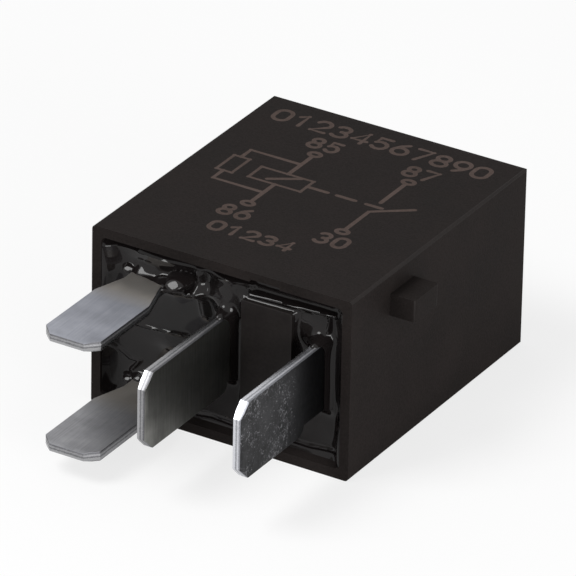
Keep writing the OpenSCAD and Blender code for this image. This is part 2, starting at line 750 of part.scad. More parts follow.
// Leaf: flat on the yoke, bent over the heel and flat along the armature to the contact
module spring() {
    r = leaf_low - 0.1;
    lift = (leaf_low - r + sin(open_angle) * (r - hinge_inset)) / cos(open_angle);
    c = [yoke_x + r, hinge_y + lift];
    along = [cos(open_angle), sin(open_angle)];
    up = [-sin(open_angle), cos(open_angle)];
    tip = contact_u + leaf_arm_w / 2;
    hinge = [hinge_x, hinge_y];
    section = concat(
        [[yoke_x, yoke_top - leaf_leg]],
        arc(c, r, 180, 90 + open_angle, 10),
        [hinge + tip * along + leaf_low * up, hinge + tip * along + leaf_high * up],
        arc(c, r + leaf_t, 90 + open_angle, 180, 10),
        [[yoke_x - leaf_t, yoke_top - leaf_leg]]
    );
    color([0.76, 0.5, 0.3]) from_rim() difference() {
        intersection() {
            along_z(mid_z - leaf_w / 2, mid_z + leaf_w / 2, section);
            translate([0, 0, mid_z]) along_y(0, case_l, leaf_plan());
        }
        box([yoke_x - leaf_t - cut, yoke_top - 1.2, mid_z - leaf_window / 2],
            [hinge_x + 2, case_l, mid_z + leaf_window / 2]);
        for (side = [-1, 1]) {
            hole_x(leaf_rivet_y(), mid_z + side * rivet_pitch / 2, rivet_d + 2 * fit,
                yoke_x - leaf_t - cut, yoke_x + cut);
            in_armature_frame() hole_y(arm_rivet_u(), mid_z + side * rivet_pitch / 2,
                rivet_d + 2 * fit, leaf_low - cut, leaf_high + cut);
        }
        in_armature_frame()
            hole_y(contact_u, mid_z, shank_d + 2 * fit, leaf_low - cut, leaf_high + cut);
    }
}

function leaf_plan() = let (h = leaf_w / 2, a = leaf_arm_w / 2, u = hinge_x + arm_u_end) concat(
    [[yoke_x - leaf_t, -h], [u - 3, -h], [u, -a]],
    arc([contact_x, 0], a, -90, 90, 12),
    [[u, a], [u - 3, h], [yoke_x - leaf_t, h]]
);

// Rivets through the leaf and the yoke's leg, their heads on the leaf
module yoke_rivets() {
    r = rivet_d / 2;
    head = yoke_x - leaf_t;
    color([0.68, 0.68, 0.66]) from_rim() for (side = [-1, 1])
        translate([0, leaf_rivet_y(), mid_z + side * rivet_pitch / 2]) rotate([0, 90, 0])
            rotate_extrude() polygon([
                [0, head - rivet_head_t], [r + rivet_head / 2, head - rivet_head_t],
                [r + rivet_head, head], [r, head], [r, yoke_in], [0, yoke_in]
            ]);
}

// Rivets through the leaf and the armature
module armature_rivets() {
    r = rivet_d / 2;
    head = leaf_high;
    color([0.68, 0.68, 0.66]) from_rim() in_armature_frame() for (side = [-1, 1])
        turned_y(arm_rivet_u(), mid_z + side * rivet_pitch / 2, [
            [0, -nose_r], [r, -nose_r], [r, head], [r + rivet_head, head],
            [r + rivet_head / 2, head + rivet_head_t], [0, head + rivet_head_t]
        ]);
}

// Contact rivets: a slightly crowned head, a shank and a closed end
module moving_contact() {
    r = contact_d / 2;
    s = shank_d / 2;
    low = leaf_low - contact_t;
    color([0.82, 0.82, 0.8]) from_rim() in_armature_frame() turned_y(contact_u, mid_z, [
        [0, low], [r - 0.5, low + 0.04], [r - 0.1, low + 0.2], [r, low + 0.4], [r, leaf_low],
        [s, leaf_low], [s, leaf_high], [s * 1.4, leaf_high], [s * 1.2, button_top], [0, button_top]
    ]);
}

module fixed_contact() {
    r = contact_d / 2;
    s = shank_d / 2;
    color([0.82, 0.82, 0.8]) from_rim() turned_y(contact_x, mid_z, [
        [0, seat_low - button_t], [s * 1.2, seat_low - button_t], [s * 1.4, seat_low], [s, seat_low],
        [s, seat_top], [r, seat_top], [r, fixed_top - 0.4], [r - 0.1, fixed_top - 0.2],
        [r - 0.5, fixed_top - 0.04], [0, fixed_top]
    ]);
}

// Stamped stop: a strip up from the base that bends over the moving contact
module backstop() {
    bend = 0.5;
    top = stop_y_room + stop_t;
    corner = [stop_y_room - bend, stop_z - bend];
    section = concat(
        [[stop_root, stop_z]],
        arc(corner, bend, 90, 0),
        [[stop_y_room, mid_z - shank_d], [top, mid_z - shank_d]],
        arc(corner, bend + stop_t, 0, 90),
        [[stop_root, stop_z + stop_t]]
    );
    color([0.74, 0.7, 0.55]) from_rim() along_x(stop_x, stop_x + stop_w, section);
}

cover();
base();
potting();
terminal_85();
terminal_86();
terminal_30();
terminal_87();
yoke();
core();
bobbin();
coil();
coil_lead_85();
coil_lead_86();
resistor();
resistor_lead_85();
resistor_lead_86();
armature();
spring();
yoke_rivets();
armature_rivets();
moving_contact();
fixed_contact();
backstop();
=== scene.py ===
"""Looks of a sealed micro relay with four blades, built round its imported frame.

The relay lies on its large face with +Z up and its blades pointing to -Y. Sizes are written in
millimetres and turned to metres by MM. Lengths along the case are measured from the rim.
"""

import logging
import math
from dataclasses import dataclass, field, replace
from enum import Enum
from typing import Any, Mapping, Sequence

import bmesh
import bpy
import numpy as np
from mathutils import Matrix, Vector


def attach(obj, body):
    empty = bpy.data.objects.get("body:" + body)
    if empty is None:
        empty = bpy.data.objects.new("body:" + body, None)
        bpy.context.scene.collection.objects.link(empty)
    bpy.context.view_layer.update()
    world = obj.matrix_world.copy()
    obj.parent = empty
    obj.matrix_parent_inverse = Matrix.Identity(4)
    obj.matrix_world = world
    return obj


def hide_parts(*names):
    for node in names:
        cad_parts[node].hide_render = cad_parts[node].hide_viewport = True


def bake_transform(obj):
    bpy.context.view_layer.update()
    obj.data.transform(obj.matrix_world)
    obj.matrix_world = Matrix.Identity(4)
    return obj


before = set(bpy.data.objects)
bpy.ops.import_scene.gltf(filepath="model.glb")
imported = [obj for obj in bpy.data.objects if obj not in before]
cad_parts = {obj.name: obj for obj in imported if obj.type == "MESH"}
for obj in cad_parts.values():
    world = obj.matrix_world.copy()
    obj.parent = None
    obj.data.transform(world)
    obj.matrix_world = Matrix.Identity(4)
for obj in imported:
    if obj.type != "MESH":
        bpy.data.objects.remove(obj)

log = logging.getLogger("relay")

MM = 0.001
# From the rim to the closed end, in mm
CASE_LENGTH = 26.0

Point = tuple[float, float]
Span = tuple[float, float]
Place = tuple[float, float, float]
Stroke = list[Point]
# Centre x, centre z, radius x, radius z, height and fullness
Drop = tuple[float, float, float, float, float, float]
# Path, width and height
Run = tuple[tuple[Point, ...], float, float]
# Centre x, centre z, height and half width
Bead = tuple[float, float, float, float]
# Text, middle x, middle y, width and height of a character, and step to the next one
TextLine = tuple[str, float, float, float, float, float]
# Name, place, size across and up, and power in watts
Lamp = tuple[str, Place, Point, float]


class Body(Enum):
    """The rigid bodies of the frame that pieces ride on."""

    CASE = "case"
    ARMATURE = "armature"


class Axis(Enum):
    """A row axis, as an index into a vector."""

    X = 0
    Y = 1
    Z = 2


def linear(code: str, alpha: float = 1.0) -> tuple[float, float, float, float]:
    """Turns an sRGB hex colour to linear.

    Args:
        code: Colour such as "#2A2726".
        alpha: Alpha of the result.

    Returns:
        Linear red, green, blue and alpha.
    """
    parts = [int(code[i : i + 2], 16) / 255 for i in (1, 3, 5)]
    turned = [c / 12.92 if c <= 0.04045 else ((c + 0.055) / 1.055) ** 2.4 for c in parts]
    return (turned[0], turned[1], turned[2], alpha)


def per_mm(size: float) -> float:
    """Texture scale at which one feature is about size millimetres."""
    return 1 / (size * MM)


def add(
    tree: bpy.types.NodeTree,
    kind: str,
    inputs: Mapping[Any, Any] | None = None,
    **settings: Any,
) -> bpy.types.Node:
    """Adds a node with its settings and links.

    Args:
        tree: Tree that gets the node.
        kind: Blender's name for the type of node.
        inputs: Socket name or index to a value, or to the socket or node that feeds it.
        **settings: Properties of the node.

    Returns:
        The new node.
    """
    node = tree.nodes.new(kind)
    for key, value in settings.items():
        setattr(node, key, value)
    for key, value in (inputs or {}).items():
        if isinstance(value, bpy.types.Node):
            value = value.outputs[0]
        if isinstance(value, bpy.types.NodeSocket):
            tree.links.new(value, node.inputs[key])
        else:
            node.inputs[key].default_value = value
    return node


def ramp(node: bpy.types.Node, stops: Sequence[tuple[float, str]]) -> bpy.types.Node:
    """Sets the stops of a colour ramp.

    Args:
        node: Colour ramp node.
        stops: Position and sRGB hex colour of each stop, in order.

    Returns:
        The same node.
    """
    elements = node.color_ramp.elements
    while len(elements) > 1:
        elements.remove(elements[-1])
    for i, (place, code) in enumerate(stops):
        stop = elements[0] if i == 0 else elements.new(place)
        stop.position = place
        stop.color = linear(code)
    return node


# ---------------------------------------------------------------------------------- finishes


@dataclass(frozen=True)
class Finish:
    """A material of one kind of surface.

    Attributes:
        name: Name of the material.
        dark: Darker tone of the surface, as sRGB hex.
        light: Lighter tone of the surface.
        roughness: Middle roughness.
        metallic: 1 for bare or plated metal.
        shader: Constant inputs of the Principled shader.
    """

    name: str
    dark: str
    light: str
    roughness: float = 0.5
    metallic: float = 0.0
    shader: Mapping[str, Any] = field(default_factory=dict)

    def material(self) -> bpy.types.Material:
        """Makes the material at its first use.

        Returns:
            The material.
        """
        made = bpy.data.materials.get(self.name)
        if made:
            return made
        made = bpy.data.materials.new(self.name)
        made.use_nodes = True
        tree = made.node_tree
        tree.nodes.clear()
        at = add(tree, "ShaderNodeTexCoord").outputs["Object"]
        bsdf = add(
            tree,
            "ShaderNodeBsdfPrincipled",
            {
                "Base Color": linear(self.dark),
                "Roughness": self.roughness,
                "Metallic": self.metallic,
                **self.shader,
            },
        )
        add(tree, "ShaderNodeOutputMaterial", {"Surface": bsdf})
        made.diffuse_color = linear(self.light)
        self.surface(tree, at, bsdf)
        return made

    def surface(
        self, tree: bpy.types.NodeTree, at: bpy.types.NodeSocket, bsdf: bpy.types.Node
    ) -> None:
        """Links nothing here: each kind of surface links its own colour, roughness and relief to
        the shader.

        Args:
            tree: Material's node tree, not used here.
            at: Object coordinates, in metres, not used here.
            bsdf: Principled shader, not used here.
        """


@dataclass(frozen=True)
class Moulded(Finish):
    """Injection-moulded plastic from a spark-eroded tool: fine even grain that breaks up gloss.

    Attributes:
        grain: Size of the mould's grain, in mm.
        depth: Depth of that grain, in mm.
        cloud: Size of the slow changes of tone, in mm.
    """

    grain: float = 0.16
    depth: float = 0.012
    cloud: float = 5.0

    def surface(
        self, tree: bpy.types.NodeTree, at: bpy.types.NodeSocket, bsdf: bpy.types.Node
    ) -> None:
        """Links the grain and the slow change of tone.

        Args:
            tree: Material's node tree.
            at: Object coordinates, in metres.
            bsdf: Principled shader.
        """
        grain = add(
            tree, "ShaderNodeTexNoise", {"Vector": at, "Scale": per_mm(self.grain), "Detail": 3.0}
        )
        cloud = add(
            tree, "ShaderNodeTexNoise", {"Vector": at, "Scale": per_mm(self.cloud), "Detail": 2.0}
        )
        mixed = add(tree, "ShaderNodeMath", {0: grain, 1: cloud}, operation="ADD")
        half = add(tree, "ShaderNodeMath", {0: mixed, 1: 0.5}, operation="MULTIPLY")
        tone = ramp(
            add(tree, "ShaderNodeValToRGB", {"Fac": half}), [(0.36, self.dark), (0.64, self.light)]
        )
        rough = add(
            tree,
            "ShaderNodeMapRange",
            {"Value": cloud, "From Min": 0.3, "From Max": 0.7,
             "To Min": self.roughness - 0.06, "To Max": self.roughness + 0.06},
        )
        bump = add(
            tree, "ShaderNodeBump",
            {"Height": grain, "Distance": self.depth * MM, "Strength": 1.0},
        )
        tree.links.new(tone.outputs[0], bsdf.inputs["Base Color"])
        tree.links.new(rough.outputs[0], bsdf.inputs["Roughness"])
        tree.links.new(bump.outputs[0], bsdf.inputs["Normal"])


@dataclass(frozen=True)
class CastEpoxy(Finish):
    """Two-part epoxy that set as it ran: wet gloss over soft ripples, with a few specks of dust.

    Attributes:
        ripple: Size of the soft ripples, in mm.
        depth: Depth of the ripples, in mm.
        dust: Spacing of the specks, in mm.
    """

    ripple: float = 2.4
    depth: float = 0.03
    dust: float = 1.4

    def surface(
        self, tree: bpy.types.NodeTree, at: bpy.types.NodeSocket, bsdf: bpy.types.Node
    ) -> None:
        """Links the ripples, the specks and the change of gloss.

        Args:
            tree: Material's node tree.
            at: Object coordinates, in metres.
            bsdf: Principled shader.
        """
        wave = add(
            tree, "ShaderNodeTexNoise",
            {"Vector": at, "Scale": per_mm(self.ripple), "Detail": 0.0, "Distortion": 0.4},
        )
        specks = add(tree, "ShaderNodeTexVoronoi", {"Vector": at, "Scale": per_mm(self.dust)})
        dusty = ramp(
            add(tree, "ShaderNodeValToRGB", {"Fac": specks.outputs["Distance"]}),
            [(0.03, self.light), (0.07, self.dark)],
        )
        rough = add(
            tree, "ShaderNodeMapRange",
            {"Value": wave, "From Min": 0.3, "From Max": 0.7,
             "To Min": self.roughness * 0.7, "To Max": self.roughness * 1.6},
        )
        bump = add(
            tree, "ShaderNodeBump", {"Height": wave, "Distance": self.depth * MM, "Strength": 1.0}
        )
        tree.links.new(dusty.outputs[0], bsdf.inputs["Base Color"])
        tree.links.new(rough.outputs[0], bsdf.inputs["Roughness"])
        tree.links.new(bump.outputs[0], bsdf.inputs["Normal"])


@dataclass(frozen=True)
class TinnedBlade(Finish):
    """Copper alloy strip, tin plated and then sheared to shape.

    The flats keep fine rolling lines and the scuffs of handling. The sheared edges show a bright
    burnished band and a granular torn one.

    Attributes:
        through: Axis through the strip's thickness.
        middle: Middle of the strip on that axis, in mm.
        thickness: Thickness of the strip, in mm.
        streaks: Size of one streak along X, Y and Z, in mm.
        streak_depth: Relief of the streaks, in mm.
        stain: Size of the cloudy stains, in mm.
        scuffs: Share of the flats that bright scuffs cover, from 0 to 1.
        scuffed_to: Place along Y up to which the scuffs reach from the tip, in mm.
        scuff_fade: Distance over which they fade out to each side of that place, in mm.
        scuff_tone: Tone of the scuffs.
        scratch: Size of one scratch in a scuff, drawn coarse enough to show, in mm.
        patch: Size of the patches in which the scratches gather, in mm.
        bared: Values of the scratch pattern at which the tin is untouched and fully scuffed.
        case_reflection: Share of a warm painted reflection of the brown case on the strip near the
            case, from 0 to 1.
        case_reflection_from: Place along Y at which that painted reflection starts, in mm.
        case_reflection_to: Place at which it is full.
        case_reflection_tone: Warm tone of the painted reflection.
        grit: Size of the grains of the torn edge, in mm.
        edge_dark: Dark tone of the sheared edges.
        edge_light: Light tone of the sheared edges.
    """

    through: Axis = Axis.Z
    middle: float = 0.0
    thickness: float = 0.8
    streaks: Place = (0.12, 3.0, 0.12)
    streak_depth: float = 0.002
    stain: float = 2.6
    scuffs: float = 0.0
    scuffed_to: float = 0.0
    scuff_fade: float = 0.15
    scuff_tone: str = "#929296"
    scratch: float = 0.2
    patch: float = 1.6
    bared: Span = (0.755, 0.83)
    case_reflection: float = 0.0
    case_reflection_from: float = -17.5
    case_reflection_to: float = -15.5
    case_reflection_tone: str = "#9C9790"
    grit: float = 0.09
    edge_dark: str = "#606063"
    edge_light: str = "#A2A2A4"

    def surface(
        self, tree: bpy.types.NodeTree, at: bpy.types.NodeSocket, bsdf: bpy.types.Node
    ) -> None:
        """Links the flats and the sheared edges.

        Args:
            tree: Material's node tree.
            at: Object coordinates, in metres.
            bsdf: Principled shader.
        """
        axes = add(tree, "ShaderNodeSeparateXYZ", {"Vector": at}).outputs
        stretched = add(
            tree, "ShaderNodeMapping",
            {"Vector": at, "Scale": [per_mm(s) for s in self.streaks]},
        )
        lines = add(tree, "ShaderNodeTexNoise", {"Vector": stretched, "Scale": 1.0, "Detail": 3.0})
        stain = add(
            tree, "ShaderNodeTexNoise", {"Vector": at, "Scale": per_mm(self.stain), "Detail": 3.0}
        )
        both = add(
            tree, "ShaderNodeMath", {0: lines, 1: 0.45, 2: stain}, operation="MULTIPLY_ADD"
        )
        grit = add(
            tree, "ShaderNodeTexNoise", {"Vector": at, "Scale": per_mm(self.grit), "Detail": 2.0}
        )
        across = add(
            tree, "ShaderNodeMapRange",
            {"Value": axes[self.through.value],
             "From Min": (self.middle - self.thickness / 2) * MM,
             "From Max": (self.middle + self.thickness / 2) * MM},
        )
        torn = add(
            tree, "ShaderNodeMath", {0: grit, 1: 0.3, 2: across}, operation="MULTIPLY_ADD"
        )
        band = ramp(
            add(tree, "ShaderNodeValToRGB", {"Fac": torn}),
            [(0.12, self.edge_dark), (0.3, self.edge_light), (0.52, self.edge_light),
             (0.62, self.edge_dark), (0.8, self.edge_light), (0.98, self.edge_dark)],
        )
        sheared = add(tree, "ShaderNodeAttribute", attribute_name="sheared").outputs["Fac"]
        colour = add(
            tree, "ShaderNodeMix", {0: sheared, 6: self.flats(tree, at, both), 7: band},
            data_type="RGBA",
        )
        rough = add(
            tree, "ShaderNodeMapRange",
            {"Value": both, "From Min": 0.5, "From Max": 0.95,
             "To Min": self.roughness + 0.08, "To Max": self.roughness - 0.05},
        )
        edge_rough = add(
            tree, "ShaderNodeMapRange",
            {"Value": torn, "From Min": 0.35, "From Max": 0.75, "To Min": 0.26, "To Max": 0.5},
        )
        gloss = add(tree, "ShaderNodeMix", {0: sheared, 2: rough, 3: edge_rough})
        relief = add(tree, "ShaderNodeMix", {0: sheared, 2: lines, 3: grit})
        bump = add(
            tree, "ShaderNodeBump",
            {"Height": relief, "Distance": self.streak_depth * MM, "Strength": 1.0},
        )
        tree.links.new(colour.outputs[2], bsdf.inputs["Base Color"])
        tree.links.new(gloss.outputs[0], bsdf.inputs["Roughness"])
        tree.links.new(bump.outputs[0], bsdf.inputs["Normal"])

    def flats(
        self, tree: bpy.types.NodeTree, at: bpy.types.NodeSocket, both: bpy.types.Node
    ) -> bpy.types.NodeSocket:
        """Makes the colour of the flats: rolled tin with a warm painted reflection of the case near
        it, scuffed near the tip.

        Args:
            tree: Material's node tree.
            at: Object coordinates, in metres.
            both: Pattern of the rolling lines and the stains.

        Returns:
            The colour.
        """
        along = add(tree, "ShaderNodeSeparateXYZ", {"Vector": at}).outputs[1]
        rolled = ramp(
            add(tree, "ShaderNodeValToRGB", {"Fac": both}), [(0.5, self.dark), (0.95, self.light)]
        )
        # Painted reflection: a warm tone towards the case stands in for the brown case reflected
        # there
        reflection_share = add(
            tree, "ShaderNodeMapRange",
            {"Value": along, "From Min": self.case_reflection_from * MM, "From Max": self.case_reflection_to * MM,
             "To Min": 0.0, "To Max": self.case_reflection},
        )
        reflected_tin = add(
            tree, "ShaderNodeMix", {0: reflection_share, 6: rolled, 7: linear(self.case_reflection_tone)},
            data_type="RGBA",
        )
        scratches = add(
            tree, "ShaderNodeTexNoise",
            {"Vector": at, "Scale": per_mm(self.scratch), "Detail": 4.0, "Roughness": 0.7,
             "Distortion": 0.8},
        )
        patches = add(
            tree, "ShaderNodeTexNoise", {"Vector": at, "Scale": per_mm(self.patch), "Detail": 2.0}
        )
        mask = add(
            tree, "ShaderNodeMath", {0: patches, 1: 0.35, 2: scratches}, operation="MULTIPLY_ADD"
        )
        worn = add(
            tree, "ShaderNodeMapRange",
            {"Value": along, "From Min": (self.scuffed_to - self.scuff_fade) * MM,
             "From Max": (self.scuffed_to + self.scuff_fade) * MM,
             "To Min": self.scuffs, "To Max": 0.0},
        )
        untouched, bare = self.bared
        scuffed = add(
            tree, "ShaderNodeMapRange",
            {"Value": mask, "From Min": untouched, "From Max": bare, "To Min": 0.0, "To Max": worn},
        )
        return add(
            tree, "ShaderNodeMix",
            {0: scuffed, 6: reflected_tin.outputs[2], 7: linear(self.scuff_tone)}, data_type="RGBA",
        ).outputs[2]


@dataclass(frozen=True)
class WorkedMetal(Finish):
    """Rolled, drawn or cold-formed metal: directional lines over a cloudy tone.

    Attributes:
        streaks: Size of one line along X, Y and Z, in mm.
        depth: Relief of the lines, in mm.
        cloud: Size of the stains, in mm.
    """

    streaks: Place = (0.1, 1.8, 0.1)
    depth: float = 0.003
    cloud: float = 1.8

    def surface(
        self, tree: bpy.types.NodeTree, at: bpy.types.NodeSocket, bsdf: bpy.types.Node
    ) -> None:
        """Links the lines and the stains.

        Args:
            tree: Material's node tree.
            at: Object coordinates, in metres.
            bsdf: Principled shader.
        """
        stretched = add(
            tree, "ShaderNodeMapping",
            {"Vector": at, "Scale": [per_mm(s) for s in self.streaks]},
        )
        lines = add(tree, "ShaderNodeTexNoise", {"Vector": stretched, "Scale": 1.0, "Detail": 3.0})
        stain = add(
            tree, "ShaderNodeTexNoise", {"Vector": at, "Scale": per_mm(self.cloud), "Detail": 4.0}
        )
        both = add(
            tree, "ShaderNodeMath", {0: lines, 1: 0.5, 2: stain}, operation="MULTIPLY_ADD"
        )
        tone = ramp(
            add(tree, "ShaderNodeValToRGB", {"Fac": both}), [(0.5, self.dark), (1.0, self.light)]
        )
        rough = add(
            tree, "ShaderNodeMapRange",
            {"Value": both, "From Min": 0.5, "From Max": 1.0,
             "To Min": self.roughness + 0.1, "To Max": self.roughness - 0.06},
        )
        bump = add(
            tree, "ShaderNodeBump", {"Height": lines, "Distance": self.depth * MM, "Strength": 1.0}
        )
        tree.links.new(tone.outputs[0], bsdf.inputs["Base Color"])
        tree.links.new(rough.outputs[0], bsdf.inputs["Roughness"])
        tree.links.new(bump.outputs[0], bsdf.inputs["Normal"])


@dataclass(frozen=True)
class BandedLacquer(Finish):
    """Dipped lacquer over a film resistor, with printed rings: satin, a little uneven.

    Attributes:
        middle: Middle height of the body, in mm.
        length: Length of the body, in mm.
        rings: Centre of each ring along the body, from -0.5 to 0.5, and its colour.
        ring_w: Width of a ring, in mm.
        dimple: Size of the lacquer's dimples, in mm.
        unevenness: Depth of those dimples, in mm.
    """

    middle: float = 7.5
    length: float = 6.3
    rings: tuple[tuple[float, str], ...] = ()
    ring_w: float = 0.5
    dimple: float = 0.8
    unevenness: float = 0.02

    def surface(
        self, tree: bpy.types.NodeTree, at: bpy.types.NodeSocket, bsdf: bpy.types.Node
    ) -> None:
        """Links the rings and the lacquer's unevenness.

        Args:
            tree: Material's node tree.
            at: Object coordinates, in metres.
            bsdf: Principled shader.
        """
        axes = add(tree, "ShaderNodeSeparateXYZ", {"Vector": at})
        low = (self.middle - self.length / 2) * MM
        along = add(
            tree, "ShaderNodeMapRange",
            {"Value": axes.outputs[2], "From Min": low, "From Max": low + self.length * MM},
        )
        half = self.ring_w / self.length / 2
        stops: list[tuple[float, str]] = [(0.0, self.dark)]
        for place, code in self.rings:
            stops += [(place + 0.5 - half, code), (place + 0.5 + half, self.dark)]
        bands = ramp(add(tree, "ShaderNodeValToRGB", {"Fac": along}), stops)
        bands.color_ramp.interpolation = "CONSTANT"
        dip = add(
            tree, "ShaderNodeTexNoise", {"Vector": at, "Scale": per_mm(self.dimple), "Detail": 2.0}
        )
        bump = add(
            tree, "ShaderNodeBump",
            {"Height": dip, "Distance": self.unevenness * MM, "Strength": 1.0},
        )
        tree.links.new(bands.outputs[0], bsdf.inputs["Base Color"])
        tree.links.new(bump.outputs[0], bsdf.inputs["Normal"])


@dataclass(frozen=True)
class PaleFloor(Finish):
    """Matte paper sweep: white to the eye and in gloss, and it still takes a soft shadow.

    Attributes:
        glow: Share of plain white in what the eye sees, from 0 to 1.
        gloss_glow: The same share in what gloss and glass show, which keeps more of the shadow.
    """

    glow: float = 0.74
    gloss_glow: float = 0.15

    def surface(
        self, tree: bpy.types.NodeTree, at: bpy.types.NodeSocket, bsdf: bpy.types.Node
    ) -> None:
        """Mixes the lit paper with plain white for rays that show the background.

        Args:
            tree: Material's node tree.
            at: Object coordinates, in metres, not used.
            bsdf: Principled shader.
        """
        rays = add(tree, "ShaderNodeLightPath").outputs
        bounced = add(
            tree, "ShaderNodeMath",
            {0: rays["Is Glossy Ray"], 1: rays["Is Transmission Ray"]}, operation="MAXIMUM",
        )
        direct = add(
            tree, "ShaderNodeMath", {0: rays["Is Camera Ray"], 1: self.glow}, operation="MULTIPLY"
        )
        share = add(
            tree, "ShaderNodeMath", {0: bounced, 1: self.gloss_glow, 2: direct},
            operation="MULTIPLY_ADD",
        )
        white = add(tree, "ShaderNodeEmission", {"Color": linear("#FFFFFF"), "Strength": 1.0})
        mixed = add(tree, "ShaderNodeMixShader", {0: share, 1: bsdf, 2: white})
        output = next(n for n in tree.nodes if n.type == "OUTPUT_MATERIAL")
        tree.links.new(mixed.outputs[0], output.inputs["Surface"])


# PBT, injection moulded in a spark-eroded tool: dull, slightly brown black that hides its gloss
COVER_PBT = Moulded(
    "pbt_moulded_black", "#1B1817", "#252120", 0.62, shader={"Specular IOR Level": 0.03}
)
# Its rounded edges, where handling wears the grain away: the same black with a faint gleam
COVER_RUBBED = replace(
    COVER_PBT, name="pbt_moulded_black_rubbed", shader={"Specular IOR Level": 0.115}
)
# The same plastic inside, from a smoother tool: a little darker, with a soft sheen
BASE_PBT = Moulded(
    "pbt_moulded_smooth", "#181515", "#201D1C", 0.5, grain=0.22, depth=0.006,
    shader={"Specular IOR Level": 0.1},
)
# Its rounded edges, a little shinier than its flats
BASE_RUBBED = replace(
    BASE_PBT, name="pbt_moulded_smooth_rubbed", shader={"Specular IOR Level": 0.17}
)
# Black epoxy, poured and cured: reads as wet glass with soft bent highlights
EPOXY = CastEpoxy(
    "epoxy_poured_black", "#161313", "#2E2A29", 0.06,
    shader={"IOR": 1.5, "Specular IOR Level": 0.24},
)
# Tin over brass, rolled bright: soft bluish grey flats, with a warm painted reflection of the case
# near the root
TIN_BRIGHT_86 = TinnedBlade(
    "tin_plate_bright_upper", "#82848B", "#9B9DA5", 0.5, 1.0, through=Axis.Z, middle=11.45,
    streak_depth=0.001, case_reflection=0.85,
)
# The same bright plate, with the same warm painted reflection of the case near the root
TIN_BRIGHT_85 = TinnedBlade(
    "tin_plate_bright_lower", "#808083", "#A0A0A3", 0.5, 1.0, through=Axis.Z, middle=2.25,
    streak_depth=0.001, case_reflection=0.85,
)
# The same plate with painted shade: darker flats for the dark surroundings that its upright faces
# reflect, and faint upright lines
TIN_SHADED_30 = TinnedBlade(
    "tin_plate_shaded_middle", "#5F5F5C", "#8C8C88", 0.38, 1.0, through=Axis.X, middle=0.15,
    streaks=(0.12, 0.16, 3.0),
)
# The same plate with the most painted shade: nearly black flats for the dark surroundings that its
# upright faces reflect, with bright scuffs towards the tip
TIN_SHADED_87 = TinnedBlade(
    "tin_plate_shaded_outer", "#252526", "#3E3E40", 0.38, 1.0, through=Axis.X, middle=8.35,
    streaks=(0.12, 0.3, 0.5), scuffs=0.9, scuffed_to=-16.5, streak_depth=0.004,
    edge_dark="#85868B", edge_light="#D4D5DA",
)
# Soft relay iron, annealed and nickel flashed: cloudy, satin grey
IRON = WorkedMetal("iron_annealed_flashed", "#77736C", "#A7A49B", 0.4, 1.0)
# Polyamide, natural colour: waxy cream
NYLON = Moulded(
    "polyamide_moulded_natural", "#CDBF9C", "#DDD2B4", 0.45, grain=0.3, depth=0.004,
    shader={"Subsurface Weight": 0.08, "Subsurface Radius": (0.001, 0.0008, 0.0005),
            "Subsurface Scale": 0.6},
)
# Copper magnet wire under clear enamel: deep orange with a varnished edge
COPPER = WorkedMetal(
    "copper_wire_enamelled", "#9A4A24", "#C9703C", 0.28, 1.0,
    streaks=(0.3, 0.3, 0.3), depth=0.001,
    shader={"Coat Weight": 0.6, "Coat Roughness": 0.12},
)
# Film resistor, dipped in lacquer: tan with printed rings
LACQUER = BandedLacquer(
    "resistor_lacquer_dipped", "#B08A5C", "#C29C6E", 0.35,
    rings=((-0.36, "#2B3F8F"), (-0.12, "#6E6F72"), (0.08, "#5A3320"), (0.34, "#B08A3A")),
)
# Tinned copper wire, drawn: bright and smooth
TINNED = WorkedMetal(
    "copper_wire_tinned", "#9C9C9C", "#CFCFCD", 0.24, 1.0, streaks=(0.1, 0.8, 0.8), depth=0.001
)
# Phosphor bronze strip, rolled hard: warm with fine lines along it
BRONZE = WorkedMetal(
    "phosphor_bronze_rolled", "#A4703F", "#C99A63", 0.27, 1.0, streaks=(1.6, 1.6, 0.08),
    depth=0.002,
)
# Steel rivets, cold headed: grey, slightly rounded gloss
STEEL = WorkedMetal(
    "steel_cold_headed", "#85847F", "#B4B3AE", 0.33, 1.0, streaks=(0.4, 0.4, 0.4), depth=0.002
)
# Silver alloy contacts, coined: pale, soft and a little frosted
SILVER = WorkedMetal(
    "silver_alloy_coined", "#B9B7B0", "#E2E0DA", 0.3, 1.0, streaks=(0.3, 0.3, 0.3), depth=0.004
)
# Brass strip, stamped: yellow with lines along the strip
BRASS = WorkedMetal(
    "brass_strip_stamped", "#A88C4C", "#CDB474", 0.27, 1.0, streaks=(0.08, 1.8, 1.8)
)
# Laser mark in the plastic: foamed, dry and brownish grey
LASER = Moulded(
    "pbt_laser_foamed", "#493F3B", "#554A46", 0.9, grain=0.18, depth=0.01,
    shader={"Specular IOR Level": 0.03},
)
# Matte paper, uncoated: plain white with no gloss
FLOOR = PaleFloor(
    "paper_floor_pale", "#F2F2F2", "#FFFFFF", 0.9, shader={"Specular IOR Level": 0.0}
)


# ------------------------------------------------------------------------------- mesh helpers


def dressed(mesh: bpy.types.Mesh, name: str, finish: Finish) -> bpy.types.Object:
    """Makes a finished piece of a mesh.

    Args:
        mesh: Mesh in the row frame.
        name: Name of the piece.
        finish: Material.

    Returns:
        The piece, in the scene.
    """
    mesh.name = name
    mesh.materials.clear()
    mesh.materials.append(finish.material())
    piece = bpy.data.objects.new(name, mesh)
    bpy.context.scene.collection.objects.link(piece)
    return piece


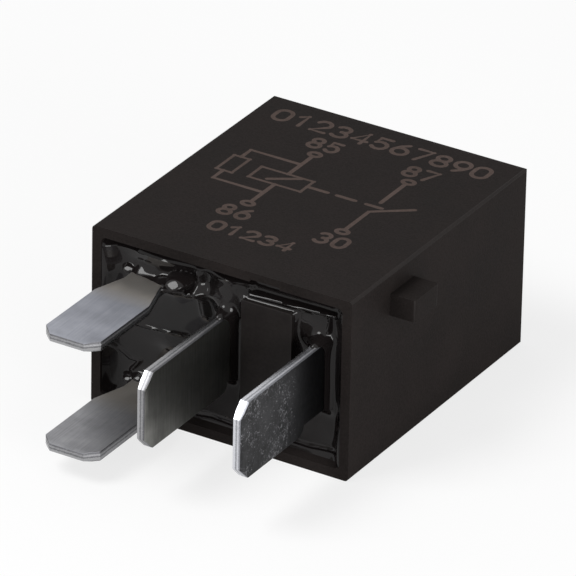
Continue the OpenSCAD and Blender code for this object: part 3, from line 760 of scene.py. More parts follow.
def place(
    mesh: bpy.types.Mesh, name: str, finish: Finish, body: Body, nodes: Sequence[str] = ()
) -> bpy.types.Object:
    """Makes a finished piece of a mesh and puts it on its body.

    Args:
        mesh: Mesh in the row frame.
        name: Name of the piece.
        finish: Material.
        body: Body that the piece rides on.
        nodes: CAD nodes that the piece stands for.

    Returns:
        The piece.
    """
    piece = dressed(mesh, name, finish)
    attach(piece, body.value)
    if nodes:
        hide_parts(*nodes)
    return piece


def merged(node: str) -> bmesh.types.BMesh:
    """A welded copy of a CAD node's mesh with its flat faces joined.

    Args:
        node: Name of the CAD node.

    Returns:
        A mesh that the caller frees.
    """
    work = bmesh.new()
    work.from_mesh(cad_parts[node].data)
    bmesh.ops.remove_doubles(work, verts=work.verts, dist=0.0015 * MM)
    bmesh.ops.dissolve_limit(
        work, angle_limit=math.radians(0.4), verts=work.verts, edges=work.edges
    )
    return work


def broken_edges(work: bmesh.types.BMesh, width: float, limit: float, rings: int = 2) -> None:
    """Rounds every edge that is sharper than an angle.

    Args:
        work: Mesh to change.
        width: Width of the rounding, in mm.
        limit: Angle between faces above which an edge counts, in degrees.
        rings: Faces across each rounding.
    """
    sharp = [
        e for e in work.edges
        if len(e.link_faces) == 2 and e.calc_face_angle(0.0) > math.radians(limit)
    ]
    bmesh.ops.bevel(
        work, geom=sharp, offset=width * MM, offset_type="OFFSET", segments=rings,
        profile=0.5, affect="EDGES", clamp_overlap=True,
    )


def shaded(work: bmesh.types.BMesh, limit: float = 32.0) -> bpy.types.Mesh:
    """Turns a work mesh into a smooth-shaded mesh with crisp edges above an angle.

    Args:
        work: Mesh, which is freed.
        limit: Angle above which an edge stays crisp, in degrees.

    Returns:
        The mesh.
    """
    mesh = bpy.data.meshes.new("mesh")
    for face in work.faces:
        face.smooth = True
    work.to_mesh(mesh)
    work.free()
    mesh.set_sharp_from_angle(angle=math.radians(limit))
    return mesh


def weighted(piece: bpy.types.Object) -> bpy.types.Object:
    """Lets the large faces set the shading, so that flats stay flat beside rounded edges.

    Args:
        piece: Piece to shade.

    Returns:
        The same piece.
    """
    modifier = piece.modifiers.new("flats", "WEIGHTED_NORMAL")
    modifier.keep_sharp = True
    modifier.weight = 80
    return piece


def refined(
    node: str, finish: Finish, body: Body, name: str, edge: float = 0.05, limit: float = 32.0
) -> bpy.types.Object:
    """A copy of a CAD node with rounded edges and a finish, which stands for the node.

    Args:
        node: Name of the CAD node.
        finish: Material.
        body: Body that it rides on.
        name: Name of the piece.
        edge: Width of the rounded edges, in mm. 0 leaves them.
        limit: Angle above which an edge is rounded and stays crisp, in degrees.

    Returns:
        The piece.
    """
    work = merged(node)
    if edge:
        broken_edges(work, edge, limit)
    return weighted(place(shaded(work, limit), name, finish, body, (node,)))


def rubbed(piece: bpy.types.Object, finish: Finish, tilt: float = 18.0) -> bpy.types.Object:
    """Gives the faces of the rounded edges their own finish, where handling wears them.

    Args:
        piece: Piece whose flats follow the row axes.
        finish: Material of the rounded edges.
        tilt: Angle from the nearest axis above which a face belongs to an edge, in degrees.

    Returns:
        The same piece.
    """
    piece.data.materials.append(finish.material())
    flattest = math.cos(math.radians(tilt))
    for face in piece.data.polygons:
        face.material_index = int(max(abs(part) for part in face.normal) < flattest)
    return piece


@dataclass
class Recipe:
    """A Geometry Nodes tree with named inputs, run once on a mesh.

    Attributes:
        name: Name of the tree.
        tree: The tree.
        values: Identifier of each named input to its value.
        source: Node that gives the inputs.
    """

    name: str
    tree: bpy.types.NodeTree = field(init=False)
    values: dict[str, Any] = field(init=False, default_factory=dict)
    source: bpy.types.Node = field(init=False)

    def __post_init__(self) -> None:
        """Makes the tree with its geometry sockets."""
        self.tree = bpy.data.node_groups.new(self.name, "GeometryNodeTree")
        for way in ("INPUT", "OUTPUT"):
            self.tree.interface.new_socket("Geometry", in_out=way, socket_type="NodeSocketGeometry")
        self.source = self.tree.nodes.new("NodeGroupInput")

    def size(self, label: str, value: Any, kind: str = "NodeSocketFloat") -> bpy.types.NodeSocket:
        """Adds a named input.

        Args:
            label: Name of the input.
            value: Its value.
            kind: Type of its socket.

        Returns:
            The socket inside the tree.
        """
        made = self.tree.interface.new_socket(label, in_out="INPUT", socket_type=kind)
        self.values[made.identifier] = value
        return self.source.outputs[label]

    def finish(self, shape: bpy.types.Node, material: bpy.types.Material) -> None:
        """Ends the tree in Realize Instances and Set Material.

        Args:
            shape: Node whose first output is the shape.
            material: Material of the shape.
        """
        solid = add(self.tree, "GeometryNodeRealizeInstances", {0: shape})
        dressed = add(
            self.tree, "GeometryNodeSetMaterial", {"Geometry": solid, "Material": material}
        )
        add(self.tree, "NodeGroupOutput", {0: dressed})

    def run(self, mesh: bpy.types.Mesh) -> bpy.types.Mesh:
        """Runs the tree on a mesh.

        Args:
            mesh: Mesh that the tree starts from.

        Returns:
            The plain mesh that comes out.
        """
        holder = bpy.data.objects.new(self.name, mesh)
        bpy.context.scene.collection.objects.link(holder)
        modifier = holder.modifiers.new(self.name, "NODES")
        modifier.node_group = self.tree
        for key, value in self.values.items():
            modifier[key] = value
        graph = bpy.context.evaluated_depsgraph_get()
        result = bpy.data.meshes.new_from_object(holder.evaluated_get(graph), depsgraph=graph)
        holder.modifiers.remove(modifier)
        bpy.data.objects.remove(holder)
        return result


def polylines(strokes: Sequence[Sequence[Sequence[float]]]) -> bpy.types.Mesh:
    """A mesh of edges along strokes. A stroke that ends where it starts is closed.

    Args:
        strokes: Points of each stroke, in metres.

    Returns:
        The mesh.
    """
    points: list[Sequence[float]] = []
    edges: list[tuple[int, int]] = []
    for stroke in strokes:
        closed = math.dist(stroke[0], stroke[-1]) < 1e-7
        used = stroke[:-1] if closed else stroke
        first = len(points)
        points += used
        edges += [(first + i, first + i + 1) for i in range(len(used) - 1)]
        if closed:
            edges.append((len(points) - 1, first))
    mesh = bpy.data.meshes.new("strokes")
    mesh.from_pydata(points, edges, [])
    return mesh


# ------------------------------------------------------------------------------ sub-assemblies


@dataclass
class Housing:
    """Black cover, the base with its raised pad, and the poured seal between them.

    Attributes:
        length: Length of the case.
        inner_x: Half width inside the rim.
        inner_z: Lowest and highest height inside the rim.
        level: Depth of the seal's flat behind the rim.
        wall_creep: How far the seal climbs the wall.
        wall_reach: How fast that climb dies away.
        blade_creep: How far the seal climbs a blade.
        blade_reach: How fast that climb dies away.
        pad: Lowest x, highest x, lowest z and highest z of the pad.
        pad_depth: How far behind the rim the pad reaches.
        drops: Centre x, centre z, radius x, radius z, height and fullness of each drop.
        runs: Path, width and height of each narrow run.
        beads: Centre x, centre z, height and half width of each bead at a blade's root.
        bead_squash: How much wider than high a bead is.
        bead_slope: Slope of a bead's upper side.
        bead_curve: Radius of that side's curve.
        bead_fall: How steeply a bead falls away outside its radius, per mm.
        bead_blend: How softly a bead runs into the rest.
        sunk: Extra distance to the lower wall, which the seal wets less.
        corner: Width over which the climbs up two walls blend.
        ripple: Size of the waves on the sheet.
        ripple_rise: Height of those waves.
        inset: How much smaller than the pad the form is that the seal climbs there.
        lip_from: Height above which the seal rolls back from the upper wall.
        lip_slope: Slope of that roll.
        highest: Most that the seal stands over its flat.
        brim: The same beside the wall, where it must stay inside the rim.
        brim_width: How far from the wall that limit reaches.
        firmness: How sharply the seal meets both limits.
        cell: Spacing of the sheet's points.
        back: Depth of the seal's back behind the rim.
    """

    length: float = CASE_LENGTH
    inner_x: float = 10.45
    inner_z: Span = (0.8, 14.2)
    level: float = 1.45
    wall_creep: float = 1.15
    wall_reach: float = 0.5
    blade_creep: float = 0.85
    blade_reach: float = 0.38
    pad: tuple[float, float, float, float] = (1.55, 5.95, 2.7, 12.3)
    pad_depth: float = 4.0
    drops: tuple[Drop, ...] = (
        (-5.6, 13.1, 2.6, 0.8, 0.6, 1.2),
        (-4.1, 11.55, 2.4, 0.5, 1.5, 1.0),
        (0.05, 12.0, 1.4, 1.75, 0.8, 1.6),
        (7.5, 11.1, 1.3, 1.4, 0.6, 1.6),
        (-11.2, 11.4, 2.2, 2.6, 1.0, 1.0),
        (0.15, 10.75, 0.4, 0.4, 1.25, 1.0),
        (8.35, 10.75, 0.4, 0.4, 1.1, 1.0),
        (-4.7, 6.2, 1.5, 0.75, 0.36, 1.0),
        (10.35, 2.0, 0.6, 3.0, 0.8, 1.0),
    )
    runs: tuple[Run, ...] = (
        (((-7.6, 13.7), (-5.2, 13.75), (-2.6, 13.6), (-0.4, 13.6), (2.1, 13.25)), 0.26, 0.2),
        (((2.5, 13.85), (5.6, 13.9), (7.7, 13.95), (9.9, 13.85)), 0.18, 0.22),
        (((2.1, 12.75), (4.8, 12.8), (7.3, 12.85), (9.3, 12.9)), 0.24, 0.55),
        (((-7.4, 12.1), (-6.1, 12.3)), 0.35, 0.3),
        (((-4.3, 10.9), (-3.6, 10.8), (-2.9, 11.4)), 0.2, 0.35),
        (((-2.4, 12.9), (-2.3, 11.3), (-2.0, 9.7)), 0.4, 0.5),
        (((-8.1, 7.0), (-6.0, 7.1), (-3.6, 7.3)), 0.15, 0.2),
        (((-10.0, 4.9), (-8.6, 4.0), (-7.75, 3.97), (-8.4, 3.1)), 0.13, 0.16),
        (((8.75, 12.5), (8.76, 11.5)), 0.18, 0.3),
        (((10.0, 13.7), (9.9, 13.0), (10.2, 12.3)), 0.22, 0.3),
        (((-3.2, 1.0), (-1.3, 1.25), (0.6, 1.15)), 0.12, 0.12),
        (((5.2, 1.35), (7.2, 1.3), (10.0, 1.55)), 0.12, 0.12),
    )
    beads: tuple[Bead, ...] = (
        (-8.45, 11.92, 1.0, 0.28),
        (-3.85, 12.3, 2.05, 0.48),
        (-8.47, 2.53, 0.9, 0.2),
        (-7.57, 2.83, 0.9, 0.2),
    )
    bead_squash: float = 1.8
    bead_slope: float = 1.12
    bead_curve: float = 2.5
    bead_fall: float = 3.0
    bead_blend: float = 0.2
    sunk: float = 0.6
    corner: float = 0.5
    ripple: float = 3.2
    ripple_rise: float = 0.16
    inset: float = 0.25
    lip_from: float = 13.4
    lip_slope: float = 1.4
    highest: float = 2.4
    brim: float = 1.4
    brim_width: float = 0.9
    firmness: int = 6
    cell: float = 0.08
    back: float = 2.2

    def build(self) -> list[bpy.types.Object]:
        """Makes the cover, the base and the seal.

        Returns:
            The pieces.
        """
        cover = refined("cover", COVER_PBT, Body.CASE, "cover_shell", edge=0.14)
        base = refined("base", BASE_PBT, Body.CASE, "base_header", edge=0.12)
        return [rubbed(cover, COVER_RUBBED), rubbed(base, BASE_RUBBED), self.seal()]

    def seal(self) -> bpy.types.Object:
        """Makes the epoxy: a sheet that climbs the wall, the pad and the blades, closed behind.

        Returns:
            The piece.
        """
        mesh = self.crept_sheet()
        places = np.empty(len(mesh.vertices) * 3)
        mesh.vertices.foreach_get("co", places)
        at = places.reshape(-1, 3)
        flat = (self.level - self.length / 2) * MM
        x, z, climb = at[:, 0] / MM, at[:, 2] / MM, (flat - at[:, 1]) / MM
        at[:, 1] = flat - self.beaded(x, z, self.held(x, z, climb + self.poured(x, z))) * MM
        mesh.vertices.foreach_set("co", places)
        work = bmesh.new()
        work.from_mesh(mesh)
        border = [e for e in work.edges if e.is_boundary]
        grown = bmesh.ops.extrude_edge_only(work, edges=border)["geom"]
        for v in (g for g in grown if isinstance(g, bmesh.types.BMVert)):
            v.co.y = (self.back - self.length / 2) * MM
        bmesh.ops.holes_fill(work, edges=[e for e in work.edges if e.is_boundary], sides=0)
        bmesh.ops.recalc_face_normals(work, faces=work.faces)
        return place(shaded(work, 50), "epoxy_seal", EPOXY, Body.CASE, ("potting",))

    def held(self, x: np.ndarray, z: np.ndarray, rise: np.ndarray) -> np.ndarray:
        """Keeps the seal inside the rim, and rolls it back from the upper wall.

        Args:
            x: Places across the case, in mm.
            z: Heights, in mm.
            rise: Height of the seal over its flat at each place, in mm.

        Returns:
            The height that is left, in mm.
        """
        rise = rise - self.lip_slope * np.maximum(z - self.lip_from, 0)
        low, high = self.inner_z
        gap = np.minimum(np.minimum(z - low, high - z), self.inner_x - np.abs(x))
        inward = 1 - np.exp(-((gap / self.brim_width) ** 2))
        allowed = self.brim + (self.highest - self.brim) * inward
        over = (np.abs(rise) / allowed) ** self.firmness
        return rise / (1 + over) ** (1 / self.firmness)

    def beaded(self, x: np.ndarray, z: np.ndarray, rise: np.ndarray) -> np.ndarray:
        """Adds the beads at the blades' roots, each a rounded form whose upper side slopes.

        Args:
            x: Places across the case, in mm.
            z: Heights, in mm.
            rise: Height of the seal over its flat at each place, in mm.

        Returns:
            The height with the beads, in mm.
        """
        for cx, cz, height, radius in self.beads:
            far = np.hypot(x - cx, (z - cz) * self.bead_squash)
            bead = height - self.bead_slope * (z - cz) - far**2 / (2 * self.bead_curve)
            bead -= self.bead_fall * np.maximum(far - radius, 0) ** 2
            mixed = np.clip(1 - np.abs(rise - bead) / self.bead_blend, 0, 1)
            rise = np.maximum(rise, bead) + mixed**2 * self.bead_blend / 4
        return rise

    def poured(self, x: np.ndarray, z: np.ndarray) -> np.ndarray:
        """Height of the drops and runs that set on the sheet.

        Args:
            x: Places across the case, in mm.
            z: Heights, in mm.

        Returns:
            Height towards the rim at each place, in mm.
        """
        total = np.zeros_like(x)
        for cx, cz, rx, rz, height, fullness in self.drops:
            off = ((x - cx) / rx) ** 2 + ((z - cz) / rz) ** 2
            total += height * np.exp(-(off**fullness))
        for path, width, height in self.runs:
            total += height * np.exp(-((self.apart(x, z, path) / width) ** 2))
        return total

    @staticmethod
    def apart(x: np.ndarray, z: np.ndarray, path: Sequence[Point]) -> np.ndarray:
        """Distance of each place from a path.

        Args:
            x: Places across the case, in mm.
            z: Heights, in mm.
            path: Points of the path.

        Returns:
            The distances, in mm.
        """
        near = np.full_like(x, np.inf)
        for (x0, z0), (x1, z1) in zip(path, path[1:]):
            dx, dz = x1 - x0, z1 - z0
            share = np.clip(((x - x0) * dx + (z - z0) * dz) / (dx * dx + dz * dz), 0, 1)
            near = np.minimum(near, np.hypot(x - x0 - share * dx, z - z0 - share * dz))
        return near

    def crept_sheet(self) -> bpy.types.Mesh:
        """Makes the Geometry Nodes sheet, which climbs less the farther it is from what it wets.

        Returns:
            The sheet, open behind.
        """
        recipe = Recipe("seal_meniscus")
        tree = recipe.tree
        low, high = self.inner_z
        level = recipe.size("Level", (self.level - self.length / 2) * MM)
        middle = recipe.size("Middle height", (low + high) / 2 * MM)
        half_x = recipe.size("Half width", self.inner_x * MM)
        half_z = recipe.size("Half height", (high - low) / 2 * MM)
        cells_x = recipe.size("Cells across", round(2 * self.inner_x / self.cell), "NodeSocketInt")
        cells_z = recipe.size("Cells up", round((high - low) / self.cell), "NodeSocketInt")
        helper = self.wetted()
        wet = recipe.size("Blades and pad", helper, "NodeSocketObject")
        full_x = add(tree, "ShaderNodeMath", {0: half_x, 1: 2.0}, operation="MULTIPLY")
        full_z = add(tree, "ShaderNodeMath", {0: half_z, 1: 2.0}, operation="MULTIPLY")
        grid = add(
            tree, "GeometryNodeMeshGrid",
            {"Size X": full_x, "Size Y": full_z, "Vertices X": cells_x, "Vertices Y": cells_z},
        )
        flat = add(tree, "ShaderNodeSeparateXYZ", {0: add(tree, "GeometryNodeInputPosition")})
        height = add(tree, "ShaderNodeMath", {0: flat.outputs[1], 1: middle}, operation="ADD")
        upright = add(tree, "ShaderNodeCombineXYZ", {0: flat.outputs[0], 1: level, 2: height})
        sheet = add(tree, "GeometryNodeSetPosition", {0: grid, "Position": upright})
        here = add(tree, "ShaderNodeSeparateXYZ", {0: add(tree, "GeometryNodeInputPosition")})
        off_x = add(tree, "ShaderNodeMath", {0: here.outputs[0]}, operation="ABSOLUTE")
        gap_x = add(tree, "ShaderNodeMath", {0: half_x, 1: off_x}, operation="SUBTRACT")
        sunk = recipe.size("Lower wall dryness", self.sunk * MM)
        above = add(tree, "ShaderNodeMath", {0: here.outputs[2], 1: middle}, operation="SUBTRACT")
        gap_top = add(tree, "ShaderNodeMath", {0: half_z, 1: above}, operation="SUBTRACT")
        gap_low = add(tree, "ShaderNodeMath", {0: half_z, 1: above}, operation="ADD")
        gap_low = add(tree, "ShaderNodeMath", {0: gap_low, 1: sunk}, operation="ADD")
        gap_z = add(tree, "ShaderNodeMath", {0: gap_top, 1: gap_low}, operation="MINIMUM")
        corner = recipe.size("Corner blend", self.corner * MM)
        to_wall = add(
            tree, "ShaderNodeMath", {0: gap_x, 1: gap_z, 2: corner}, operation="SMOOTH_MIN"
        )
        info = add(tree, "GeometryNodeObjectInfo", {0: wet}, transform_space="ORIGINAL")
        near = add(
            tree, "GeometryNodeProximity", {0: info.outputs["Geometry"]}, target_element="FACES"
        )
        climbs = []
        for label, distance, creep, reach in (
            ("Wall", to_wall.outputs[0], self.wall_creep, self.wall_reach),
            ("Blade", near.outputs["Distance"], self.blade_creep, self.blade_reach),
        ):
            height_in = recipe.size(f"{label} climb", creep * MM)
            reach_in = recipe.size(f"{label} reach", reach * MM)
            share = add(tree, "ShaderNodeMath", {0: distance, 1: reach_in}, operation="DIVIDE")
            less = add(tree, "ShaderNodeMath", {0: share, 1: -1.0}, operation="MULTIPLY")
            fall = add(tree, "ShaderNodeMath", {0: less}, operation="EXPONENT")
            climbs.append(
                add(tree, "ShaderNodeMath", {0: fall, 1: height_in}, operation="MULTIPLY")
            )
        total = add(tree, "ShaderNodeMath", {0: climbs[0], 1: climbs[1]}, operation="ADD")
        wave = add(
            tree, "ShaderNodeTexNoise",
            {"Vector": add(tree, "GeometryNodeInputPosition"), "Scale": per_mm(self.ripple),
             "Detail": 1.0},
        )
        ripple_rise = recipe.size("Ripple height", self.ripple_rise * MM)
        ripple = add(
            tree, "ShaderNodeMath", {0: wave, 1: ripple_rise, 2: total}, operation="MULTIPLY_ADD"
        )
        back = add(tree, "ShaderNodeMath", {0: ripple, 1: -1.0}, operation="MULTIPLY")
        moved = add(
            tree, "GeometryNodeSetPosition",
            {0: sheet, "Offset": add(tree, "ShaderNodeCombineXYZ", {1: back})},
        )
        recipe.finish(moved, EPOXY.material())
        made = recipe.run(bpy.data.meshes.new("seed"))
        bpy.data.objects.remove(helper)
        return made

    def wetted(self) -> bpy.types.Object:
        """Makes one object of everything that stands through the seal: the blades and the pad.

        Returns:
            The object, which stays out of the scene.
        """
        work = bmesh.new()
        for node in ("terminal_85", "terminal_86", "terminal_30", "terminal_87"):
            work.from_mesh(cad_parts[node].data)
        x0, x1, z0, z1 = self.pad
        deep = self.pad_depth
        spread = Matrix.Diagonal(
            ((x1 - x0 - self.inset) * MM, deep * MM, (z1 - z0 - self.inset) * MM, 1)
        )
        centre = Matrix.Translation(
            ((x0 + x1) / 2 * MM, (deep / 2 - self.length / 2) * MM, (z0 + z1) / 2 * MM)
        )
        bmesh.ops.create_cube(work, size=1.0, matrix=centre @ spread)
        mesh = bpy.data.meshes.new("wetted")
        work.to_mesh(mesh)
        work.free()
        return bpy.data.objects.new("wetted", mesh)


@dataclass
class Blades:
    """Four tin-plated blades with sheared edges.

    Attributes:
        edge: Width of the edges' rounding.
        flattest: Least part of a flat's normal along the strip's thickness.
        finishes: Finish of each blade's node.
    """

    edge: float = 0.05
    flattest: float = 0.85
    finishes: Mapping[str, TinnedBlade] = field(
        default_factory=lambda: {
            "terminal_85": TIN_BRIGHT_85,
            "terminal_86": TIN_BRIGHT_86,
            # The middle and outer blades take darker copies of the plate, as painted shade
            "terminal_30": TIN_SHADED_30,
            "terminal_87": TIN_SHADED_87,
        }
    )

    def build(self) -> list[bpy.types.Object]:
        """Makes the blades and marks their sheared faces.

        Returns:
            The pieces.
        """
        made = []
        for node, finish in self.finishes.items():
            name = node.replace("terminal", "blade")
            piece = refined(node, finish, Body.CASE, name, self.edge)
            self.mark_sheared(piece.data, finish.through)
            made.append(piece)
        return made

    def mark_sheared(self, mesh: bpy.types.Mesh, through: Axis) -> None:
        """Stores 1 on the faces that the shear cut, and 0 on the flats.

        Args:
            mesh: Blade's mesh.
            through: Axis through the strip's thickness.
        """
        layer = mesh.attributes.new("sheared", "FLOAT", "FACE")
        for face in mesh.polygons:
            flat = abs(face.normal[through.value]) > self.flattest
            layer.data[face.index].value = 0.0 if flat else 1.0


@dataclass
class Magnet:
    """Yoke, core, bobbin, winding and its two ends.

    Attributes:
        axis_x: Place of the winding's axis across the case.
        axis_z: Height of that axis.
        start: Distance of the winding's start from the rim.
        end: Distance of its end from the rim.
        radius: Outer radius of the winding.
        wire: Diameter of the wire, drawn twice as thick as the real one so that its turns show.
        length: Length of the case.
    """

    axis_x: float = -3.2
    axis_z: float = 7.5
    start: float = 7.5
    end: float = 19.17
    radius: float = 4.58
    wire: float = 0.2
    length: float = CASE_LENGTH

    def build(self) -> list[bpy.types.Object]:
        """Makes the magnet's pieces.

        Returns:
            The pieces.
        """
        parts = [
            refined("yoke", IRON, Body.CASE, "yoke_iron", edge=0.08),
            refined("core", IRON, Body.CASE, "core_iron", edge=0.05),
            refined("bobbin", NYLON, Body.CASE, "bobbin_spool", edge=0.07),
            self.winding(),
        ]
        for node in ("coil_lead_85", "coil_lead_86"):
            parts.append(refined(node, COPPER, Body.CASE, node + "_wire", edge=0, limit=60))
        return parts

    def winding(self) -> bpy.types.Object:
        """Makes the Geometry Nodes winding: a wire helix round a solid core of earlier layers.

        Returns:
            The piece.
        """
        recipe = Recipe("winding_helix")
        tree = recipe.tree
        turns = round((self.end - self.start - self.wire) / self.wire)
        rotations = recipe.size("Turns", float(turns))
        outer = recipe.size("Wire path radius", (self.radius - self.wire / 2) * MM)
        height = recipe.size("Wound length", turns * self.wire * MM)
        wire = recipe.size("Wire radius", self.wire / 2 * MM)
        begins = self.start + self.wire / 2 - self.length / 2
        first = recipe.size(
            "Start", (self.axis_x * MM, begins * MM, self.axis_z * MM), "NodeSocketVector"
        )
        helix = add(
            tree, "GeometryNodeCurveSpiral",
            {"Resolution": 44, "Rotations": rotations, "Start Radius": outer,
             "End Radius": outer, "Height": height},
        )
        ring = add(tree, "GeometryNodeCurvePrimitiveCircle", {"Resolution": 6, "Radius": wire})
        wound = add(
            tree, "GeometryNodeCurveToMesh",
            {"Curve": helix, "Profile Curve": ring, "Fill Caps": True},
        )
        under = add(
            tree, "GeometryNodeMeshCylinder", {"Vertices": 64, "Radius": outer, "Depth": height}
        )
        half = add(tree, "ShaderNodeMath", {0: height, 1: 0.5}, operation="MULTIPLY")
        raised = add(
            tree, "GeometryNodeTransform",
            {0: under, "Translation": add(tree, "ShaderNodeCombineXYZ", {2: half})},
        )
        joined = add(tree, "GeometryNodeJoinGeometry")
        for part in (wound, raised):
            tree.links.new(part.outputs[0], joined.inputs[0])
        laid = add(
            tree, "GeometryNodeTransform",
            {0: joined, "Translation": first, "Rotation": (-math.pi / 2, 0.0, 0.0)},
        )
        recipe.finish(laid, COPPER.material())
        work = bmesh.new()
        work.from_mesh(recipe.run(bpy.data.meshes.new("seed")))
        return place(shaded(work, 60), "winding_wire", COPPER, Body.CASE, ("coil",))


@dataclass
class Resistor:
    """Film resistor beside the coil, with its two leads."""

    def build(self) -> list[bpy.types.Object]:
        """Makes the body and the leads.

        Returns:
            The pieces.
        """
        parts = [refined("resistor", LACQUER, Body.CASE, "resistor_body", edge=0, limit=60)]
        for node in ("resistor_lead_85", "resistor_lead_86"):
            parts.append(refined(node, TINNED, Body.CASE, node + "_wire", edge=0, limit=60))
        return parts


@dataclass
class Switch:
    """Armature, leaf spring, contacts, rivets and backstop.

    Attributes:
        bend_start: Point on the leaf at which it leaves the yoke, from the rim.
        bend_end: Point at which it follows the armature.
        slice: Spacing of the extra rows cut across the leaf at its bend.
        length: Length of the case.
    """

    bend_start: Place = (-9.7, 19.9, 7.5)
    bend_end: Place = (-7.4, 22.9, 7.5)
    slice: float = 0.15
    length: float = CASE_LENGTH

    def build(self) -> list[bpy.types.Object]:
        """Makes the switch's pieces.

        Returns:
            The pieces.
        """
        swung, still = Body.ARMATURE, Body.CASE
        return [
            refined("armature", IRON, swung, "armature_iron", edge=0.06),
            refined("armature_rivets", STEEL, swung, "armature_rivet_pair", edge=0.04),
            refined("moving_contact", SILVER, swung, "moving_contact_silver", edge=0.03),
            refined("fixed_contact", SILVER, still, "fixed_contact_silver", edge=0.03),
            refined("yoke_rivets", STEEL, still, "yoke_rivet_pair", edge=0.04),
            refined("backstop", BRASS, still, "backstop_strip", edge=0.04),
            self.leaf(),
        ]

    def leaf(self) -> bpy.types.Object:
        """Makes the leaf, cut into rows at its bend.

        Returns:
            The piece.
        """
        work = merged("spring")
        start, end = Vector(self.bend_start), Vector(self.bend_end)
        way = (end - start).normalized()
        reach = (end - start).length
        count = round(reach / self.slice)
        shift = Vector((0, -self.length / 2, 0))
        for i in range(count + 1):
            at = (start + shift + way * (reach * i / count)) * MM
            bmesh.ops.bisect_plane(
                work, geom=list(work.verts) + list(work.edges) + list(work.faces),
                plane_co=at, plane_no=way,
            )
        piece = dressed(shaded(work), "leaf_spring", BRONZE)
        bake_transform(piece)
        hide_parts("spring")
        return piece


def arc(
    cx: float, cy: float, rx: float, ry: float, start: float, stop: float, steps: int = 10
) -> Stroke:
    """Points on an arc of an ellipse.

    Args:
        cx: Middle across.
        cy: Middle of its height.
        rx: Radius across.
        ry: Radius up.
        start: First angle, in degrees.
        stop: Last angle.
        steps: Number of chords.

    Returns:
        The points.
    """
    turn = [math.radians(start + (stop - start) * i / steps) for i in range(steps + 1)]
    return [(cx + rx * math.cos(a), cy + ry * math.sin(a)) for a in turn]


class Glyph(Enum):
    """Single-stroke numerals in a cell 1 wide and 1 high."""

    ZERO = ("0", [arc(0.5, 0.68, 0.5, 0.32, 0, 180) + arc(0.5, 0.32, 0.5, 0.32, 180, 360)
                  + [(1.0, 0.68)]])
    ONE = ("1", [[(0.15, 0.78), (0.58, 1.0), (0.58, 0.0)]])
    TWO = ("2", [arc(0.5, 0.7, 0.46, 0.3, 165, -25) + [(0.04, 0.0), (1.0, 0.0)]])
    THREE = ("3", [arc(0.46, 0.75, 0.44, 0.25, 150, -90), arc(0.46, 0.26, 0.5, 0.26, 90, -150)])
    FOUR = ("4", [[(0.74, 0.0), (0.74, 1.0), (0.0, 0.28), (1.0, 0.28)]])
    FIVE = ("5", [[(0.92, 1.0), (0.16, 1.0), (0.08, 0.54)]
                  + arc(0.47, 0.33, 0.5, 0.33, 130, -145)])
    SIX = ("6", [[(0.72, 1.0), (0.3, 0.76), (0.04, 0.45)], arc(0.5, 0.32, 0.5, 0.32, 0, 360, 16)])
    SEVEN = ("7", [[(0.0, 1.0), (1.0, 1.0), (0.36, 0.0)]])
    EIGHT = ("8", [arc(0.5, 0.76, 0.42, 0.24, 0, 360, 16), arc(0.5, 0.26, 0.5, 0.26, 0, 360, 16)])
    NINE = ("9", [[(0.28, 0.0), (0.7, 0.24), (0.96, 0.55)], arc(0.5, 0.68, 0.5, 0.32, 0, 360, 16)])

    @classmethod
    def strokes(cls, sign: str) -> list[Stroke]:
        """Strokes of a sign.

        Args:
            sign: One character.

        Returns:
            Its strokes in the unit cell.
        """
        return next(g.value[1] for g in cls if g.value[0] == sign)


